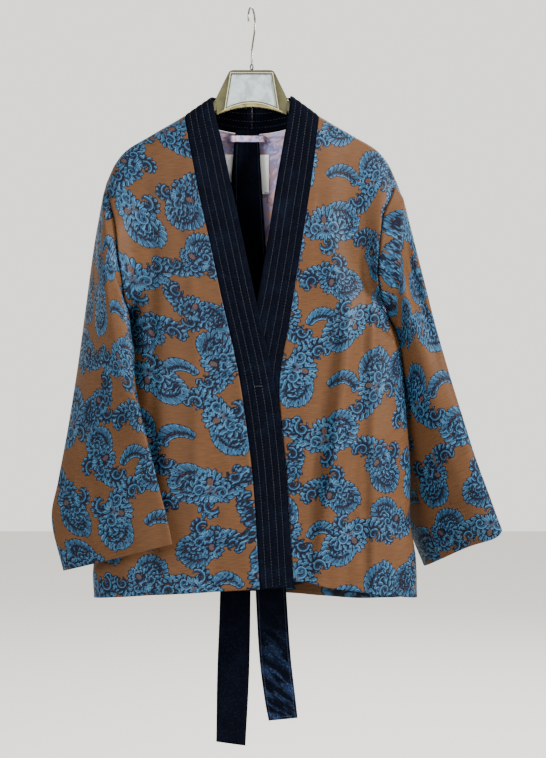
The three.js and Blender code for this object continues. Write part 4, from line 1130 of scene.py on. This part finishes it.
# How crushed the short end is, growing towards its foot: the belt's velvet paints sheen streaks into its
# colour there and raises the same streaks as relief
crush = np.zeros(beltGrid.shape[:2])
crushed = ease(-front[..., 2], 880, 940) * 0.85 + ease(-front[..., 2], 780, 900) * 0.1
crush[:belt["shortRows"]] = crushed
beltPiece = clothPiece("beltCloth", beltGrid, belt["thickness"], 1, [beltVelvet], pattern=False,
                       extra={"crush": crush})
place(beltPiece, ["belt"], "velvet", (0.045, 1.76), "hung", ["hang_loop"], clothArea(beltGrid))
edgeColumns = [round((0.5 + sign * belt["edge"]) * (belt["columns"] - 1)) for sign in (-1, 1)]
towardFront = np.tile([0, -1.0, 0], (belt["longRows"], 1))
edgePaths = [run[:, k] for run in (front, back) for k in edgeColumns] + [front[5, 3:-3], back[-6, 3:-3]]
edgeRuns = [stitchRow(path, towardFront[:len(path)], *stitch["belt"]) for path in edgePaths]
stitchPiece("beltStitches", edgeRuns, threadInk)

print("hanger and hook")
wireHook = {"radius": 1.4, "bend": 18.4, "centreZ": -17, "turn": math.radians(14), "foot": -78.5,
            "rise": [0, 8, 18, 32, 46], "out": [0, 0, 1.5, 7.5, 15], "fromAngle": -8, "toAngle": 195}
eye = {"wide": 5.6, "high": 9.4, "wire": 1.0, "foot": -88.2}
plate = {"topHalf": 31, "topZ": -88.5, "sideHalf": 50.5, "sideZ": -128, "face": 5.5, "corner": 5, "rim": 0.7,
         "bead": 0.45}


def wirePiece(name, path, radius, closed, material, nodes):
    # Round wire along a path, in millimetres
    bpy.ops.object.select_all(action="DESELECT")
    bpy.ops.curve.primitive_bezier_curve_add(location=(0, 0, 0))
    piece = bpy.context.object
    piece.name = name
    shape = piece.data
    shape.splines.clear()
    spline = shape.splines.new("POLY")
    spline.points.add(len(path) - 1)
    for spot, (x, y, z) in zip(spline.points, path):
        spot.co = (x * mm, y * mm, z * mm, 1)
    spline.use_cyclic_u = closed
    shape.dimensions = "3D"
    shape.bevel_depth = radius * mm
    shape.bevel_resolution = 4
    shape.use_fill_caps = not closed
    bpy.ops.object.convert(target="MESH")
    piece = bpy.context.object
    bpy.ops.object.shade_smooth()
    piece.data.materials.clear()
    piece.data.materials.append(material)
    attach(piece, "root")
    if nodes:
        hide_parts(*nodes)
    return piece


angles = np.radians(np.linspace(wireHook["fromAngle"], wireHook["toAngle"], 11))
hookOut = np.concatenate([wireHook["out"], wireHook["bend"] * np.cos(angles)])
hookZ = np.concatenate([wireHook["foot"] + np.array(wireHook["rise"]),
                        wireHook["centreZ"] + wireHook["bend"] * np.sin(angles)])
run = np.concatenate([[0], np.cumsum(np.hypot(np.diff(hookOut), np.diff(hookZ)))])
fine = np.linspace(0, run[-1], 110)
reach, rise = through(run, hookOut)(fine), through(run, hookZ)(fine)
hookPath = points(reach * math.sin(wireHook["turn"]), reach * math.cos(wireHook["turn"]), rise)
wirePiece("hookWire", hookPath, wireHook["radius"], False, chrome, ["hook"])
ring = np.linspace(0, 2 * math.pi, 40, endpoint=False)
eyePath = points((eye["wide"] / 2 - eye["wire"]) * np.cos(ring), 0,
                 eye["foot"] + eye["high"] / 2 + (eye["high"] / 2 - eye["wire"]) * np.sin(ring))
wirePiece("hookEyeWire", eyePath, eye["wire"], True, darkMetal, ["hook_eye"])
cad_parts["hanger"].data.materials.clear()
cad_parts["hanger"].data.materials.append(acrylic)

rimMaterial = plainCloth("plateRim", (0.03, 0.028, 0.018, 1), (0.05, 0.046, 0.03, 1), 0.002, 0.3)
beadMaterial = metalMaterial("windowBead", (0.06, 0.058, 0.04, 1), 0.25)
w = {key: value / mm for key, value in plateWindow.items()}
foot = np.linspace(-1, 1, 25)
windowPath = [(w["topHalf"], w["topZ"]), (-w["topHalf"], w["topZ"])]
windowPath += [(t * w["footHalf"], w["archZ"] - (w["archZ"] - w["footZ"]) * t * t) for t in foot]
slope = (plate["sideHalf"] - plate["topHalf"]) / (plate["topZ"] - plate["sideZ"])
corner = plate["corner"]
outline = [(plate["sideHalf"], plate["sideZ"]), (plate["topHalf"] + slope * corner, plate["topZ"] - corner),
           (plate["topHalf"] + 0.3, plate["topZ"] - 1.6), (plate["topHalf"] - corner, plate["topZ"])]
outline = outline + [(-x, z) for x, z in reversed(outline)]
for face, way in (("Front", -1), ("Back", 1)):
    beadPath = [(x, way * (plate["face"] - plate["bead"] * 0.6), z) for x, z in windowPath]
    wirePiece("windowBead" + face, beadPath, plate["bead"], True, beadMaterial, None)
    rimPath = [(x * 0.992, way * (plate["face"] - 0.5), z - 0.5) for x, z in outline]
    wirePiece("plateRim" + face, rimPath, plate["rim"], False, rimMaterial, None)

print("stage")
bpy.ops.object.select_all(action="DESELECT")
stage = {"floorZ": -1.32, "floorSize": 14, "pale": (0.62, 0.61, 0.58, 1), "floorRough": 0.9,
         "room": (0.86, 0.85, 0.81, 1), "roomStrength": 1.9}
bpy.ops.mesh.primitive_plane_add(size=stage["floorSize"], location=(0, 0, stage["floorZ"]))
floor = bpy.context.object
floor.name = "floor"
floorMaterial, _, floorShader = newMaterial("paleFloor")
floorShader.inputs["Base Color"].default_value = stage["pale"]
floorShader.inputs["Roughness"].default_value = stage["floorRough"]
floor.data.materials.append(floorMaterial)

world = bpy.data.worlds.new("softRoom")
bpy.context.scene.world = world
world.use_nodes = True
world.node_tree.nodes["Background"].inputs[0].default_value = stage["room"]
world.node_tree.nodes["Background"].inputs[1].default_value = stage["roomStrength"]

# Each soft light: its place and size in metres, its power and its colour; all are turned to the middle
middle = Vector((0.02, 0, -0.5))
lights = (
    ("keyLight", (2.25, -1.4, 1.0), 0.5, 365, (1.0, 0.98, 0.95)),
    ("fillLight", (-1.4, -2.5, 0.3), 1.2, 115, (0.96, 0.98, 1.0)),
    ("backLight", (0.8, 2.4, 1.0), 1.8, 60, (1.0, 0.98, 0.95)),
)
for name, location, size, power, colour in lights:
    lamp = bpy.data.lights.new(name, "AREA")
    lamp.size = size
    lamp.energy = power
    lamp.color = colour
    holder = bpy.data.objects.new(name, lamp)
    holder.location = location
    holder.rotation_euler = (middle - Vector(location)).to_track_quat("-Z", "Y").to_euler()
    bpy.context.scene.collection.objects.link(holder)

view = {"x": 0.0304, "y": -2.650, "z": -0.5285, "lens": 88.2}
camera = bpy.data.objects.new("camera", bpy.data.cameras.new("camera"))
camera.data.lens = view["lens"]
camera.data.sensor_width = 36
camera.location = (view["x"], view["y"], view["z"])
camera.rotation_euler = (math.pi / 2, 0, 0)
bpy.context.scene.collection.objects.link(camera)
bpy.context.scene.camera = camera

print("done")
